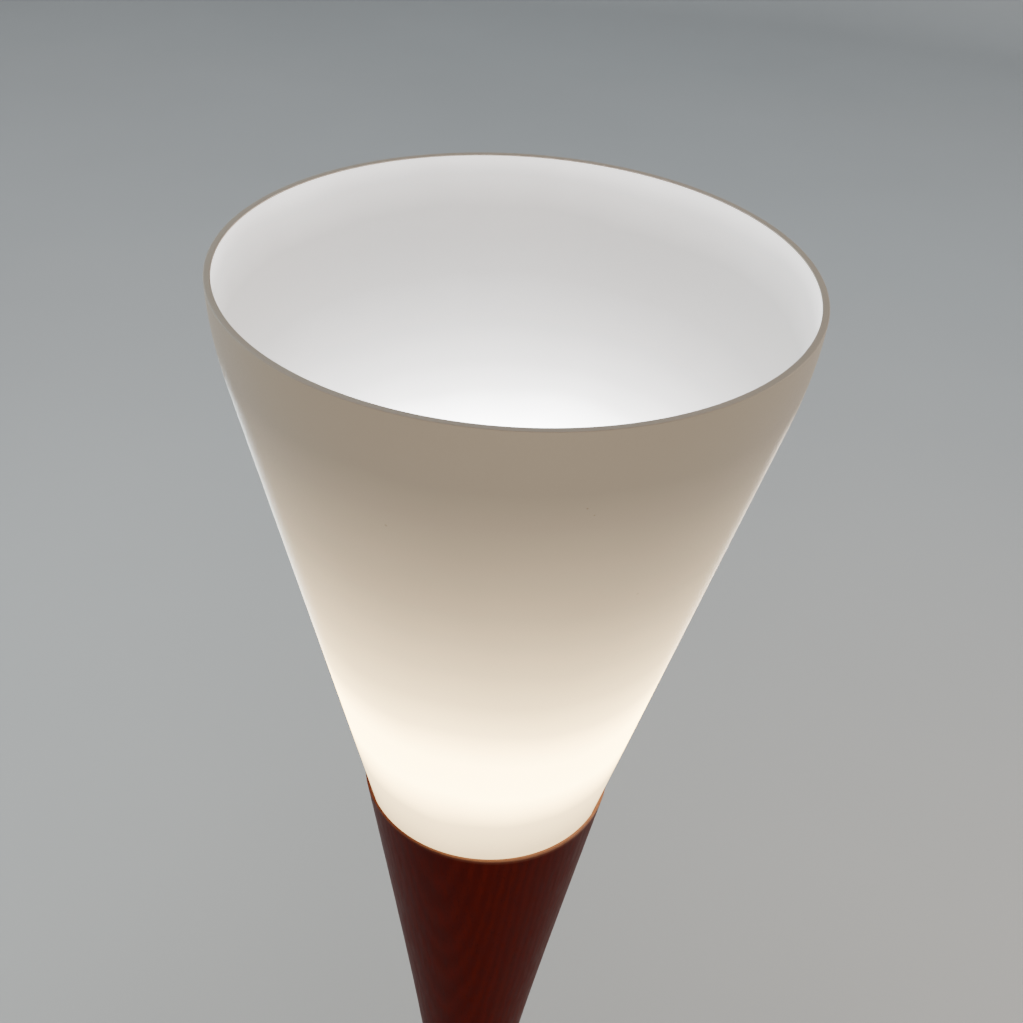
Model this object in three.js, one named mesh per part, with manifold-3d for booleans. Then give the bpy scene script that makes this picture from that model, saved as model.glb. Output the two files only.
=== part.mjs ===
// Torchiere floor lamp: an opal glass cone that stands in the mouth of a turned wooden column, on a
// weighted wooden foot with a foot switch. Millimetres, +Z up; the origin is on the floor, at the
// centre of the felt ring that the lamp stands on. -Y is the front, and the mains inlet is at +Y.
import * as THREE from "three";
import { mergeVertices } from "three/addons/utils/BufferGeometryUtils.js";
import Module from "manifold-3d";

// ---------------------------------------------------------------- driving sizes
// Whole lamp
const LAMP_HEIGHT = 1500; // floor to glass rim
const SIDES = 40; // facets of a large turned piece
const SMALL_SIDES = 16; // facets of a small turned piece
const PLAY = 0.3; // gap left between pieces that touch or slide

// Glass shade
const RIM_RADIUS = 130; // outside
const GLASS_MOUTH_RADIUS = 65.3; // outside, where the glass enters the wood
const GLASS_SHOWING = 303; // glass above the wood
const GLASS_SEAT_DEPTH = 12; // glass hidden in the wood
const GLASS_WALL = 3;
const RIM_CURVE = 40; // height over which the wall turns upright at the rim
const RIM_SLOPE = 0.02; // radius lost per mm of drop, at the rim
const SEAT_RING_HEIGHT = 3; // soft ring under the glass
const SEAT_RING_WIDTH = 6;

// Wooden column
const LIP = 1.4; // width of the wooden edge round the glass
const GLASS_PLAY = 0.4; // glass to wood
const STEM_RADIUS = 17; // radius that the column narrows towards
const FLARE_LENGTH = 315; // drop from the mouth to where the flare's straight side would meet the stem
const FLARE_BEND = 100; // softness of the bend from flare to stem
const COLUMN_JOINT_Z = 640; // where the two column lengths meet
const TENON_WALL = 4.5; // wood left round the tenon
const TENON_LENGTH = 22;
const LEDGE_WIDTH = 8; // ledge that carries the spun cup's flange
const CAVITY_DEPTH = 60; // ledge to cavity floor
const CAVITY_DRAFT = 9; // radius lost from ledge to floor

// Wooden foot
const FOOT_RADIUS = 140;
const FOOT_EDGE = 15; // height of the upright edge
const EDGE_ROUND = 5; // rounding of the edge's lower corner and of its top
const FOOT_TAPER = 32; // rise over which the foot's flare falls to 1/e
const FOOT_JOINT_Z = 72; // where the column stands on the foot
const FOOT_TENON_RADIUS = 18;
const FOOT_WALL = 22; // edge to wiring cavity
const CAVITY_CEILING = 17;
const BOSS_CEILING = 29; // ceiling over the weight's boss
const FELT_HEIGHT = 3;
const FELT_WIDTH = 8;
const FELT_INSET = 2.5; // felt to the foot's edge
const COVER_SHEET = 1.8;
const COVER_LAP = 11; // cover beyond the cavity, where its screws go

// Weight, with a wiring channel across its underside from the inlet to the switch
const WEIGHT_PLAY = 4; // weight to the cavity's wall
const BOSS_INSET = 40; // cavity's wall to the weight's raised middle
const BOSS_PLAY = 2; // raised middle to wood
const WEIGHT_BASE_Z = 6;
const CHANNEL_WIDTH = 44;
const CHANNEL_ROOF = 22;

// Threaded tube that clamps the column together
const TUBE_RADIUS = 5;
const TUBE_BORE = 3.5;
const TUBE_END_Z = 13;
const TUBE_PLAY = 0.8; // tube to wood
const NUT_ACROSS_FLATS = 17;
const NUT_HEIGHT = 6;
const WASHER_RADIUS = 14;
const WASHER_HEIGHT = 2;
const COUPLER_RADIUS = 7.5;
const COUPLER_LENGTH = 30;

// Spun aluminium cup that lines the cavity and carries the glass
const CUP_SHEET = 1.2;

// Lampholder, standing on the tube above the cup's floor
const HOLDER_RISE = 9.5; // cup floor to the holder cap's hub
const HUB_HEIGHT = 8.5;
const HOLDER_RADIUS = 19.5;
const HOLDER_HEIGHT = 40;
const HOLDER_FLOOR = 10;
const CAP_SHEET = 1.4;
const CAP_SKIRT = 17;
const WIRING_GAP = 8.5; // cap floor to porcelain
const SHELL_SHEET = 0.6;
const TERMINAL_POCKET = 8;
const TERMINAL_WIDTH = 10;
const TERMINAL_SCREW_DEPTH = 7; // reach inwards from the pocket's middle
const CONTACT_HEIGHT = 3; // holder's floor to the bulb's tip
const CONTACT_REACH = 11;
const CONTACT_WIDTH = 7;
const CONTACT_SHEET = 0.6;
const TUBE_SHOWING = 3; // tube above the cap's floor
const HUB_WALL = 2.2;

// Bulb with a 26 mm screw cap
const SCREW_RADIUS = 13;
const SCREW_HEIGHT = 21;
const SCREW_PLAY = 0.4;
const BULB_HEIGHT = 109; // tip contact to crown
const GLOBE_RADIUS = 30;
const COLLAR_TOP_RADIUS = 24;
const TIP_HEIGHT = 2.5;
const TIP_RADIUS = 4.5;
const INSULATOR_HEIGHT = 3;
const GLOBE_WALL = 1.5;
const COLLAR_WALL = 1.8;
const LED_BOARD_RADIUS = 20;
const LED_BOARD_HEIGHT = 1.6;
const DRIVER_BOARD = new THREE.Vector3(15, 1.4, 30);

// Foot switch
const SWITCH_INSET = 14; // cavity's wall to the switch
const SWITCH_SEAT_DEPTH = 4.6; // foot's surface to the floor of the recess for the switch's ring
const SWITCH_RECESS_RADIUS = 11;
const SWITCH_BODY = new THREE.Vector3(22, 14, 11);
const BUSHING_RADIUS = 5.9;
const BUSHING_BORE = 4.3;
const BUSHING_RISE = 4; // above the recess floor
const RING_RADIUS = 9;
const RING_HEIGHT = 3;
const BUTTON_RADIUS = 7;
const BUTTON_HEIGHT = 5;
const BUTTON_TRAVEL = 3;
const PLUNGER_RADIUS = 3.9;
const SPRING_HEIGHT = 6;
const SPRING_TURNS = 4;
const SPRING_WIRE = 0.45; // radius of the wire

// Mains inlet, terminal block and internal leads
const INLET_Z = 11;
const INLET_RADIUS = 5;
const INLET_BORE = 4.2;
const INLET_FLANGE_RADIUS = 6.4;
const INLET_FLANGE = 2;
const BLOCK = new THREE.Vector3(22, 14, 9);
const BLOCK_INSET = 26; // cavity's wall to the terminal block
const BLOCK_HOLE_OFFSET = 6; // centre of the block to each lead's hole
const LEAD_RADIUS = 1.2;
const LEAD_OFFSET = 1.65; // tube axis to each lead
const SCREW_SHANK = 1.5;
const SCREW_HEAD = 3;
const SCREW_HEAD_HEIGHT = 2;
const COVER_SCREWS = 3;
const COVER_SCREW_LENGTH = 12;

// ---------------------------------------------------------------- derived places
const mouthZ = LAMP_HEIGHT - GLASS_SHOWING;
const glassTaper = (RIM_RADIUS - GLASS_MOUTH_RADIUS - (RIM_SLOPE * RIM_CURVE) / 2)
  / (GLASS_SHOWING - RIM_CURVE / 2);
const glassBaseZ = mouthZ - GLASS_SEAT_DEPTH;
const ledgeZ = glassBaseZ - SEAT_RING_HEIGHT - CUP_SHEET;
const columnTopRadius = GLASS_MOUTH_RADIUS + GLASS_PLAY + LIP;
const rebateRadius = (z) => GLASS_MOUTH_RADIUS + GLASS_PLAY - (mouthZ - z) * glassTaper;
const flangeRadius = rebateRadius(ledgeZ) - GLASS_PLAY;
const cavityRadius = rebateRadius(ledgeZ) - LEDGE_WIDTH;
const cavityFloorZ = ledgeZ - CAVITY_DEPTH;
const tubeHole = TUBE_RADIUS + TUBE_PLAY;

const footBaseZ = FELT_HEIGHT;
const edgeTopZ = footBaseZ + FOOT_EDGE;
const footCavityRadius = FOOT_RADIUS - FOOT_WALL;
const coverRadius = footCavityRadius + COVER_LAP;
const coverScrewReach = footCavityRadius + COVER_LAP / 2;
const weightRadius = footCavityRadius - WEIGHT_PLAY;
const bossRadius = footCavityRadius - BOSS_INSET;
const switchReach = footCavityRadius - SWITCH_INSET;
const blockReach = footCavityRadius - BLOCK_INSET;

const cupFloorZ = cavityFloorZ + CUP_SHEET;
const hubZ = cupFloorZ + HOLDER_RISE;
const capFloorZ = hubZ + HUB_HEIGHT;
const holderZ = capFloorZ + WIRING_GAP;
const tubeTopZ = capFloorZ + CAP_SHEET + TUBE_SHOWING;
const contactZ = holderZ + HOLDER_FLOOR;
const bulbZ = contactZ + CONTACT_HEIGHT;
const screwZ = bulbZ + TIP_HEIGHT + INSULATOR_HEIGHT;
const collarZ = screwZ + SCREW_HEIGHT;
const crownZ = bulbZ + BULB_HEIGHT;
const globeCentreZ = crownZ - GLOBE_RADIUS;
const globeZ = globeCentreZ - Math.sqrt(GLOBE_RADIUS ** 2 - COLLAR_TOP_RADIUS ** 2);
const collarHeight = globeZ - collarZ;

// Height of the foot's upper surface at a radius.
const footTopAt = (radius) =>
  edgeTopZ - FOOT_TAPER * Math.log((radius - STEM_RADIUS) / (FOOT_RADIUS - STEM_RADIUS));

const switchSeatZ = footTopAt(switchReach) - SWITCH_SEAT_DEPTH;
const bushingTopZ = switchSeatZ + BUSHING_RISE;
const switchBodyTopZ = CAVITY_CEILING - PLAY;
const springBaseZ = switchBodyTopZ + PLAY;
const buttonZ = bushingTopZ + BUTTON_TRAVEL + PLAY;

// A straight slope above zero that bends softly into nothing below it.
const softSlope = (x) => (Math.hypot(x, FLARE_BEND) + x) / 2;

// Outside radius of the wood: the mouth's flare and the foot's flare, on a slim stem.
const columnRadius = (z) => STEM_RADIUS
  + (columnTopRadius - STEM_RADIUS) * softSlope(FLARE_LENGTH - (mouthZ - z)) / softSlope(FLARE_LENGTH)
  + (FOOT_RADIUS - STEM_RADIUS) * Math.exp((edgeTopZ - z) / FOOT_TAPER);

const tenonRadius = columnRadius(COLUMN_JOINT_Z) - TENON_WALL;

// Outside radius of the glass: a straight cone whose wall turns upright towards the rim.
function glassRadius(z) {
  const drop = LAMP_HEIGHT - z;
  const bend = Math.min(drop, RIM_CURVE);
  const curved = RIM_SLOPE * bend + ((glassTaper - RIM_SLOPE) * bend * bend) / (2 * RIM_CURVE);
  return RIM_RADIUS - curved - glassTaper * (drop - bend);
}

// ---------------------------------------------------------------- finishes
const finish = (color, roughness, metalness = 0) =>
  new THREE.MeshStandardMaterial({ color, roughness, metalness });
const OPAL_GLASS = finish(0xf4f0e6, 0.35);
const WOOD = finish(0x5a1f10, 0.35);
const STEEL = finish(0x9a9c9e, 0.4, 0.9);
const IRON = finish(0x2c2c2e, 0.8, 0.5);
const ALUMINIUM = finish(0xc9cbcc, 0.35, 0.9);
const BRASS = finish(0xb08d4a, 0.35, 0.9);
const CHROME = finish(0xd8dadc, 0.12, 1);
const PORCELAIN = finish(0xf2efe8, 0.25);
const SILICONE = finish(0xd9d6cf, 0.7);
const FELT = finish(0x1c1b1a, 0.95);
const BLACK_PLASTIC = finish(0x161616, 0.45);
const WHITE_PLASTIC = finish(0xeeece6, 0.4);
const CIRCUIT_BOARD = finish(0x1f5a34, 0.6);
const BULB_DIFFUSER = finish(0xfffaf0, 0.5);
const LEAD_BROWN = finish(0x5b3420, 0.5);
const LEAD_BLUE = finish(0x2c4f86, 0.5);

// ---------------------------------------------------------------- shape helpers
const wasm = await Module();
wasm.setup();

// A solid turned about Z from a [radius, height] outline that ends on the axis or closes on itself.
function turned(outline, sides = SMALL_SIDES) {
  const points = outline.map(([radius, z]) => new THREE.Vector2(radius, z));
  if (outline[0][0] > 0) points.push(points[0].clone());
  if (THREE.ShapeUtils.area(points) < 0) points.reverse();
  return new THREE.LatheGeometry(points, sides).rotateX(Math.PI / 2);
}

// A ring or a plain tube between two radii and two heights.
const ring = (inner, outer, low, high, sides) =>
  turned([[inner, low], [outer, low], [outer, high], [inner, high]], sides);

// A disc or rod on the axis.
const rod = (radius, low, high, sides) =>
  turned([[0, low], [radius, low], [radius, high], [0, high]], sides);

// A block given by its centre and size.
const block = (x, y, z, size) =>
  new THREE.BoxGeometry(size.x, size.y, size.z).translate(x, y, z);

// Points [f(z), z] at even steps from one height to another, both ends included.
const traced = (radiusAt, from, to, steps) =>
  Array.from({ length: steps + 1 }, (_, i) => {
    const z = from + ((to - from) * i) / steps;
    return [radiusAt(z), z];
  });

function solidOf(geometry) {
  const bare = geometry.clone();
  bare.deleteAttribute("normal");
  bare.deleteAttribute("uv");
  const merged = mergeVertices(bare);
  return new wasm.Manifold(new wasm.Mesh({
    numProp: 3,
    vertProperties: merged.attributes.position.array,
    triVerts: new Uint32Array(merged.index.array),
  }));
}

function geometryOf(solid) {
  const mesh = solid.getMesh();
  const geometry = new THREE.BufferGeometry();
  geometry.setAttribute("position", new THREE.BufferAttribute(mesh.vertProperties, 3));
  geometry.setIndex(new THREE.BufferAttribute(mesh.triVerts, 1));
  geometry.computeVertexNormals();
  return geometry;
}

// A geometry with the shapes of the other geometries cut out of it.
const carved = (geometry, ...cutters) =>
  geometryOf(cutters.reduce((solid, cutter) => solid.subtract(solidOf(cutter)), solidOf(geometry)));

// A path that is stepped by its own points, so that a long straight run costs one step.
class LeadPath extends THREE.Curve {
  constructor(points) {
    super();
    this.points = points;
  }
  indexAt(u) {
    return Math.round(u * (this.points.length - 1));
  }
  getPointAt(u) {
    return this.points[this.indexAt(u)].clone();
  }
  getTangentAt(u) {
    const i = this.indexAt(u);
    const here = this.points[i];
    const tangent = new THREE.Vector3();
    if (i > 0) tangent.add(here.clone().sub(this.points[i - 1]).normalize());
    if (i < this.points.length - 1) tangent.add(this.points[i + 1].clone().sub(here).normalize());
    return tangent.normalize();
  }
}

// A round wire through the points [x, y, z]; each corner is eased over the bend length.
function wire(points, radius, { sides = 6, bend = 3 } = {}) {
  const corners = Array.from({ length: sides }, (_, i) => {
    const angle = (2 * Math.PI * i) / sides;
    return new THREE.Vector2(radius * Math.cos(angle), radius * Math.sin(angle));
  });
  const at = points.map((point) => new THREE.Vector3(...point));
  const eased = at.flatMap((corner, i) => {
    if (bend === 0 || i === 0 || i === at.length - 1) return [corner];
    const towards = (other) => {
      const reach = Math.min(bend, corner.distanceTo(other) / 2.5);
      return corner.clone().add(other.clone().sub(corner).setLength(reach));
    };
    const curve = new THREE.QuadraticBezierCurve3(towards(at[i - 1]), corner, towards(at[i + 1]));
    return curve.getPoints(2);
  });
  return new THREE.ExtrudeGeometry(new THREE.Shape(corners), {
    steps: eased.length - 1,
    extrudePath: new LeadPath(eased),
    bevelEnabled: false,
  });
}

// A hexagon nut with a plain hole, standing on a height.
function hexNut(z) {
  const corner = NUT_ACROSS_FLATS / Math.sqrt(3);
  const nut = new THREE.CylinderGeometry(corner, corner, NUT_HEIGHT, 6)
    .rotateX(Math.PI / 2)
    .translate(0, 0, z + NUT_HEIGHT / 2);
  return carved(nut, rod(TUBE_RADIUS + PLAY, z - 1, z + NUT_HEIGHT + 1));
}

function addPiece(group, name, geometry, material) {
  const mesh = new THREE.Mesh(geometry, material);
  mesh.name = name;
  group.add(mesh);
  return mesh;
}

// ---------------------------------------------------------------- shade
const shade = new THREE.Group();

// The glass is open at both ends: light goes up through the rim, the bulb comes up through the base.
function glassShade() {
  const bendZ = LAMP_HEIGHT - RIM_CURVE;
  const inside = (z) => glassRadius(z) - GLASS_WALL;
  return turned([
    [glassRadius(glassBaseZ), glassBaseZ],
    ...traced(glassRadius, bendZ, LAMP_HEIGHT, 5),
    ...traced(inside, LAMP_HEIGHT, bendZ, 5),
    [inside(glassBaseZ), glassBaseZ],
  ], SIDES);
}
addPiece(shade, "glass_shade", glassShade(), OPAL_GLASS);

// ---------------------------------------------------------------- column
const column = new THREE.Group();

// Upper length: a trumpet with a rebate for the glass, a ledge and a cavity for the spun cup.
function upperColumn() {
  const couplerTopZ = COLUMN_JOINT_Z + COUPLER_LENGTH / 2;
  const couplerHole = COUPLER_RADIUS + TUBE_PLAY;
  return turned([
    [couplerHole, COLUMN_JOINT_Z - TENON_LENGTH],
    [tenonRadius, COLUMN_JOINT_Z - TENON_LENGTH],
    [tenonRadius, COLUMN_JOINT_Z],
    ...traced(columnRadius, COLUMN_JOINT_Z, mouthZ, 12),
    [rebateRadius(mouthZ), mouthZ],
    [rebateRadius(ledgeZ), ledgeZ],
    [cavityRadius, ledgeZ],
    [cavityRadius - CAVITY_DRAFT, cavityFloorZ],
    [tubeHole, cavityFloorZ],
    [tubeHole, couplerTopZ + TUBE_PLAY],
    [couplerHole, couplerTopZ + TUBE_PLAY],
  ], SIDES);
}
addPiece(column, "column_upper", upperColumn(), WOOD);

// Lower length: a socket for the upper tenon and a tenon for the foot.
function lowerColumn() {
  const socketZ = COLUMN_JOINT_Z - TENON_LENGTH - PLAY;
  return turned([
    [tubeHole, FOOT_JOINT_Z - TENON_LENGTH],
    [FOOT_TENON_RADIUS, FOOT_JOINT_Z - TENON_LENGTH],
    [FOOT_TENON_RADIUS, FOOT_JOINT_Z],
    ...traced(columnRadius, FOOT_JOINT_Z, FOOT_JOINT_Z + 3 * FOOT_TAPER, 6),
    ...traced(columnRadius, FOOT_JOINT_Z + 5 * FOOT_TAPER, COLUMN_JOINT_Z, 3),
    [tenonRadius + PLAY, COLUMN_JOINT_Z],
    [tenonRadius + PLAY, socketZ],
    [tubeHole, socketZ],
  ], SIDES);
}
addPiece(column, "column_lower", lowerColumn(), WOOD);

// Two lengths of threaded tube meet in a coupler inside the column's joint.
addPiece(column, "tube_lower",
  ring(TUBE_BORE, TUBE_RADIUS, TUBE_END_Z, COLUMN_JOINT_Z - PLAY), STEEL);
addPiece(column, "tube_upper",
  ring(TUBE_BORE, TUBE_RADIUS, COLUMN_JOINT_Z + PLAY, tubeTopZ), STEEL);
addPiece(column, "tube_coupler",
  ring(TUBE_RADIUS + PLAY, COUPLER_RADIUS, COLUMN_JOINT_Z - COUPLER_LENGTH / 2,
    COLUMN_JOINT_Z + COUPLER_LENGTH / 2), STEEL);

// ---------------------------------------------------------------- cup and clamp at the top
const head = new THREE.Group();

addPiece(head, "seat_ring",
  ring(flangeRadius - SEAT_RING_WIDTH, flangeRadius, ledgeZ + CUP_SHEET, glassBaseZ, SIDES), SILICONE);

// The cup's flange lies on the ledge, and its floor is clamped to the cavity's floor.
function spunCup() {
  const wallTop = cavityRadius - PLAY;
  const wallFoot = cavityRadius - CAVITY_DRAFT - PLAY;
  return turned([
    [tubeHole, cavityFloorZ],
    [wallFoot, cavityFloorZ],
    [wallTop, ledgeZ],
    [flangeRadius, ledgeZ],
    [flangeRadius, ledgeZ + CUP_SHEET],
    [wallTop - CUP_SHEET, ledgeZ + CUP_SHEET],
    [wallFoot - CUP_SHEET, cupFloorZ],
    [tubeHole, cupFloorZ],
  ], SIDES);
}
addPiece(head, "spun_cup", spunCup(), ALUMINIUM);
addPiece(head, "top_washer",
  ring(TUBE_RADIUS + PLAY, WASHER_RADIUS, cupFloorZ, cupFloorZ + WASHER_HEIGHT), STEEL);
addPiece(head, "top_nut", hexNut(cupFloorZ + WASHER_HEIGHT), STEEL);

// ---------------------------------------------------------------- lampholder
const holder = new THREE.Group();

// Cap: a hub on the tube and a skirt round the foot of the porcelain.
function holderCap() {
  const hubHole = TUBE_RADIUS + PLAY;
  const skirtTopZ = capFloorZ + CAP_SKIRT + CAP_SHEET;
  return turned([
    [hubHole, hubZ],
    [hubHole + HUB_WALL, hubZ],
    [hubHole + HUB_WALL, capFloorZ],
    [HOLDER_RADIUS, capFloorZ],
    [HOLDER_RADIUS, skirtTopZ],
    [HOLDER_RADIUS - CAP_SHEET, skirtTopZ],
    [HOLDER_RADIUS - CAP_SHEET, capFloorZ + CAP_SHEET],
    [hubHole, capFloorZ + CAP_SHEET],
  ]);
}
addPiece(holder, "holder_cap", holderCap(), BRASS);

// Porcelain: a cup for the screw shell, with a pocket each side for a terminal.
const skirtRadius = HOLDER_RADIUS - CAP_SHEET - PLAY;
const shellRadius = SCREW_RADIUS + SCREW_PLAY + SHELL_SHEET;
const terminalZ = holderZ + TERMINAL_POCKET / 2;
const pocketX = skirtRadius - TERMINAL_POCKET / 2;
function holderBody() {
  const shoulderZ = capFloorZ + CAP_SKIRT + CAP_SHEET + PLAY;
  const cup = turned([
    [0, holderZ],
    [skirtRadius, holderZ],
    [skirtRadius, shoulderZ],
    [HOLDER_RADIUS, shoulderZ],
    [HOLDER_RADIUS, holderZ + HOLDER_HEIGHT],
    [shellRadius + PLAY, holderZ + HOLDER_HEIGHT],
    [shellRadius + PLAY, contactZ],
    [0, contactZ],
  ]);
  const pocket = new THREE.Vector3(TERMINAL_POCKET + 2, TERMINAL_WIDTH, TERMINAL_POCKET);
  const cutters = [1, -1].flatMap((side) => [
    block(side * (pocketX + 1), 0, terminalZ, pocket),
    rod(SCREW_SHANK + PLAY, pocketX - TERMINAL_SCREW_DEPTH - 1, pocketX, 12)
      .rotateY((Math.PI / 2) * side).translate(0, 0, terminalZ),
  ]);
  return carved(cup, ...cutters);
}
addPiece(holder, "holder_body", holderBody(), PORCELAIN);

// The screw shell takes the bulb's cap; its floor is open for the centre contact.
function screwShell() {
  const inner = SCREW_RADIUS + SCREW_PLAY;
  return ring(inner, shellRadius, contactZ, holderZ + HOLDER_HEIGHT - 1);
}
addPiece(holder, "screw_shell", screwShell(), BRASS);

// The centre contact is a bent strip that springs up against the bulb's tip.
function centreContact() {
  const strip = new THREE.Shape();
  const top = CONTACT_HEIGHT - PLAY;
  strip.moveTo(-CONTACT_REACH, 0);
  strip.lineTo(-6, 0);
  strip.quadraticCurveTo(-3, 0, 0, top - CONTACT_SHEET);
  strip.lineTo(TIP_RADIUS, top - CONTACT_SHEET);
  strip.lineTo(TIP_RADIUS, top);
  strip.lineTo(-1, top);
  strip.quadraticCurveTo(-3.6, CONTACT_SHEET, -6, CONTACT_SHEET);
  strip.lineTo(-CONTACT_REACH, CONTACT_SHEET);
  strip.closePath();
  return new THREE.ExtrudeGeometry(strip, { depth: CONTACT_WIDTH, bevelEnabled: false, curveSegments: 4 })
    .translate(0, 0, -CONTACT_WIDTH / 2)
    .rotateX(Math.PI / 2)
    .translate(0, 0, contactZ);
}
addPiece(holder, "centre_contact", centreContact(), BRASS);

// A terminal screw each side, driven in along X.
const terminalHeadX = pocketX + 0.5;
function terminalScrew(side) {
  return turned([
    [0, pocketX - TERMINAL_SCREW_DEPTH],
    [SCREW_SHANK, pocketX - TERMINAL_SCREW_DEPTH],
    [SCREW_SHANK, terminalHeadX],
    [SCREW_HEAD, terminalHeadX],
    [SCREW_HEAD, terminalHeadX + SCREW_HEAD_HEIGHT],
    [0, terminalHeadX + SCREW_HEAD_HEIGHT],
  ], 12).rotateY((Math.PI / 2) * side).translate(0, 0, terminalZ);
}
addPiece(holder, "terminal_screw_right", terminalScrew(1), BRASS);
addPiece(holder, "terminal_screw_left", terminalScrew(-1), BRASS);

// ---------------------------------------------------------------- bulb
const bulb = new THREE.Group();

addPiece(bulb, "bulb_tip",
  turned([[0, bulbZ], [TIP_RADIUS * 0.7, bulbZ], [TIP_RADIUS, bulbZ + 1], [TIP_RADIUS, bulbZ + TIP_HEIGHT],
    [0, bulbZ + TIP_HEIGHT]]), BRASS);
addPiece(bulb, "bulb_insulator",
  turned([[0, bulbZ + TIP_HEIGHT], [TIP_RADIUS + 1, bulbZ + TIP_HEIGHT], [SCREW_RADIUS - 2, screwZ],
    [0, screwZ]]), BLACK_PLASTIC);
addPiece(bulb, "bulb_screw_cap", rod(SCREW_RADIUS, screwZ, collarZ), ALUMINIUM);

// Collar: a hollow trumpet from the screw cap up to the diffuser, with a floor for the driver board.
function bulbCollar() {
  const flare = (z) => {
    const share = (z - collarZ) / collarHeight;
    return SCREW_RADIUS + 0.5 + (COLLAR_TOP_RADIUS - SCREW_RADIUS - 0.5) * share ** 1.2;
  };
  const inside = (z) => flare(z) - COLLAR_WALL;
  return turned([
    [0, collarZ],
    ...traced(flare, collarZ, globeZ, 4),
    ...traced(inside, globeZ, collarZ + COLLAR_WALL, 4),
    [0, collarZ + COLLAR_WALL],
  ]);
}
addPiece(bulb, "bulb_collar", bulbCollar(), WHITE_PLASTIC);

// The board with the lights closes the collar's top; the driver board stands inside the collar.
const ledBoardZ = globeZ + PLAY;
addPiece(bulb, "bulb_led_board",
  rod(LED_BOARD_RADIUS, ledBoardZ, ledBoardZ + LED_BOARD_HEIGHT), ALUMINIUM);
const driverHeight = Math.min(DRIVER_BOARD.z, collarHeight - COLLAR_WALL - 2 * PLAY);
addPiece(bulb, "bulb_driver_board", block(0, 0, collarZ + COLLAR_WALL + PLAY + driverHeight / 2,
  new THREE.Vector3(DRIVER_BOARD.x, DRIVER_BOARD.y, driverHeight)), CIRCUIT_BOARD);

// Diffuser: the shell of a globe, open at the foot where it stands on the collar.
function bulbGlobe() {
  const shell = (radius, steps) => {
    const lowest = Math.asin((globeCentreZ - globeZ) / radius);
    return Array.from({ length: steps + 1 }, (_, i) => {
      const angle = -lowest + ((Math.PI / 2 + lowest) * i) / steps;
      return [i === steps ? 0 : radius * Math.cos(angle), globeCentreZ + radius * Math.sin(angle)];
    });
  };
  return turned([...shell(GLOBE_RADIUS, 8), ...shell(GLOBE_RADIUS - GLOBE_WALL, 8).reverse()]);
}
addPiece(bulb, "bulb_globe", bulbGlobe(), BULB_DIFFUSER);

// ---------------------------------------------------------------- foot
const foot = new THREE.Group();

// The turned shell: a stepped cavity below for the weight and wiring, a hole above for the tenon.
function footShell() {
  const edgeTop = edgeTopZ - EDGE_ROUND;
  const flareFrom = footTopAt(FOOT_RADIUS - EDGE_ROUND);
  return turned([
    [tubeHole, BOSS_CEILING],
    [bossRadius + BOSS_PLAY, BOSS_CEILING],
    [bossRadius + BOSS_PLAY, CAVITY_CEILING],
    [footCavityRadius, CAVITY_CEILING],
    [footCavityRadius, footBaseZ + COVER_SHEET],
    [coverRadius + PLAY, footBaseZ + COVER_SHEET],
    [coverRadius + PLAY, footBaseZ],
    [FOOT_RADIUS - 2, footBaseZ],
    [FOOT_RADIUS, footBaseZ + 2],
    [FOOT_RADIUS, edgeTop],
    [FOOT_RADIUS - EDGE_ROUND * 0.3, edgeTop + EDGE_ROUND * 0.7],
    ...traced(columnRadius, flareFrom, FOOT_JOINT_Z, 9),
    [FOOT_TENON_RADIUS + PLAY, FOOT_JOINT_Z],
    [FOOT_TENON_RADIUS + PLAY, FOOT_JOINT_Z - TENON_LENGTH - PLAY],
    [tubeHole, FOOT_JOINT_Z - TENON_LENGTH - PLAY],
  ], SIDES);
}

// A cutter or piece that lies along +Y, from one reach to another, at the inlet's height.
const towardsRear = (geometry) => geometry.rotateX(-Math.PI / 2).translate(0, 0, INLET_Z);

function coverScrewPlaces() {
  return Array.from({ length: COVER_SCREWS }, (_, i) => {
    const angle = (2 * Math.PI * (i + 0.25)) / COVER_SCREWS;
    return [coverScrewReach * Math.cos(angle), coverScrewReach * Math.sin(angle)];
  });
}

function woodFoot() {
  const screwHoles = coverScrewPlaces().map(([x, y]) =>
    rod(SCREW_SHANK + PLAY, footBaseZ, footBaseZ + COVER_SCREW_LENGTH + 1, 12).translate(x, y, 0));
  return carved(footShell(),
    rod(SWITCH_RECESS_RADIUS, switchSeatZ, FOOT_JOINT_Z + 20).translate(0, -switchReach, 0),
    rod(BUSHING_RADIUS + PLAY, CAVITY_CEILING - 1, switchSeatZ + 1).translate(0, -switchReach, 0),
    towardsRear(rod(INLET_RADIUS + PLAY, footCavityRadius - 2, FOOT_RADIUS + 1)),
    towardsRear(rod(INLET_FLANGE_RADIUS + PLAY, FOOT_RADIUS - INLET_FLANGE - 1, FOOT_RADIUS + 1)),
    rod(SCREW_SHANK + PLAY, CAVITY_CEILING - 1, CAVITY_CEILING + 9, 12).translate(0, blockReach, 0),
    ...screwHoles);
}
addPiece(foot, "wood_foot", woodFoot(), WOOD);

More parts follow.
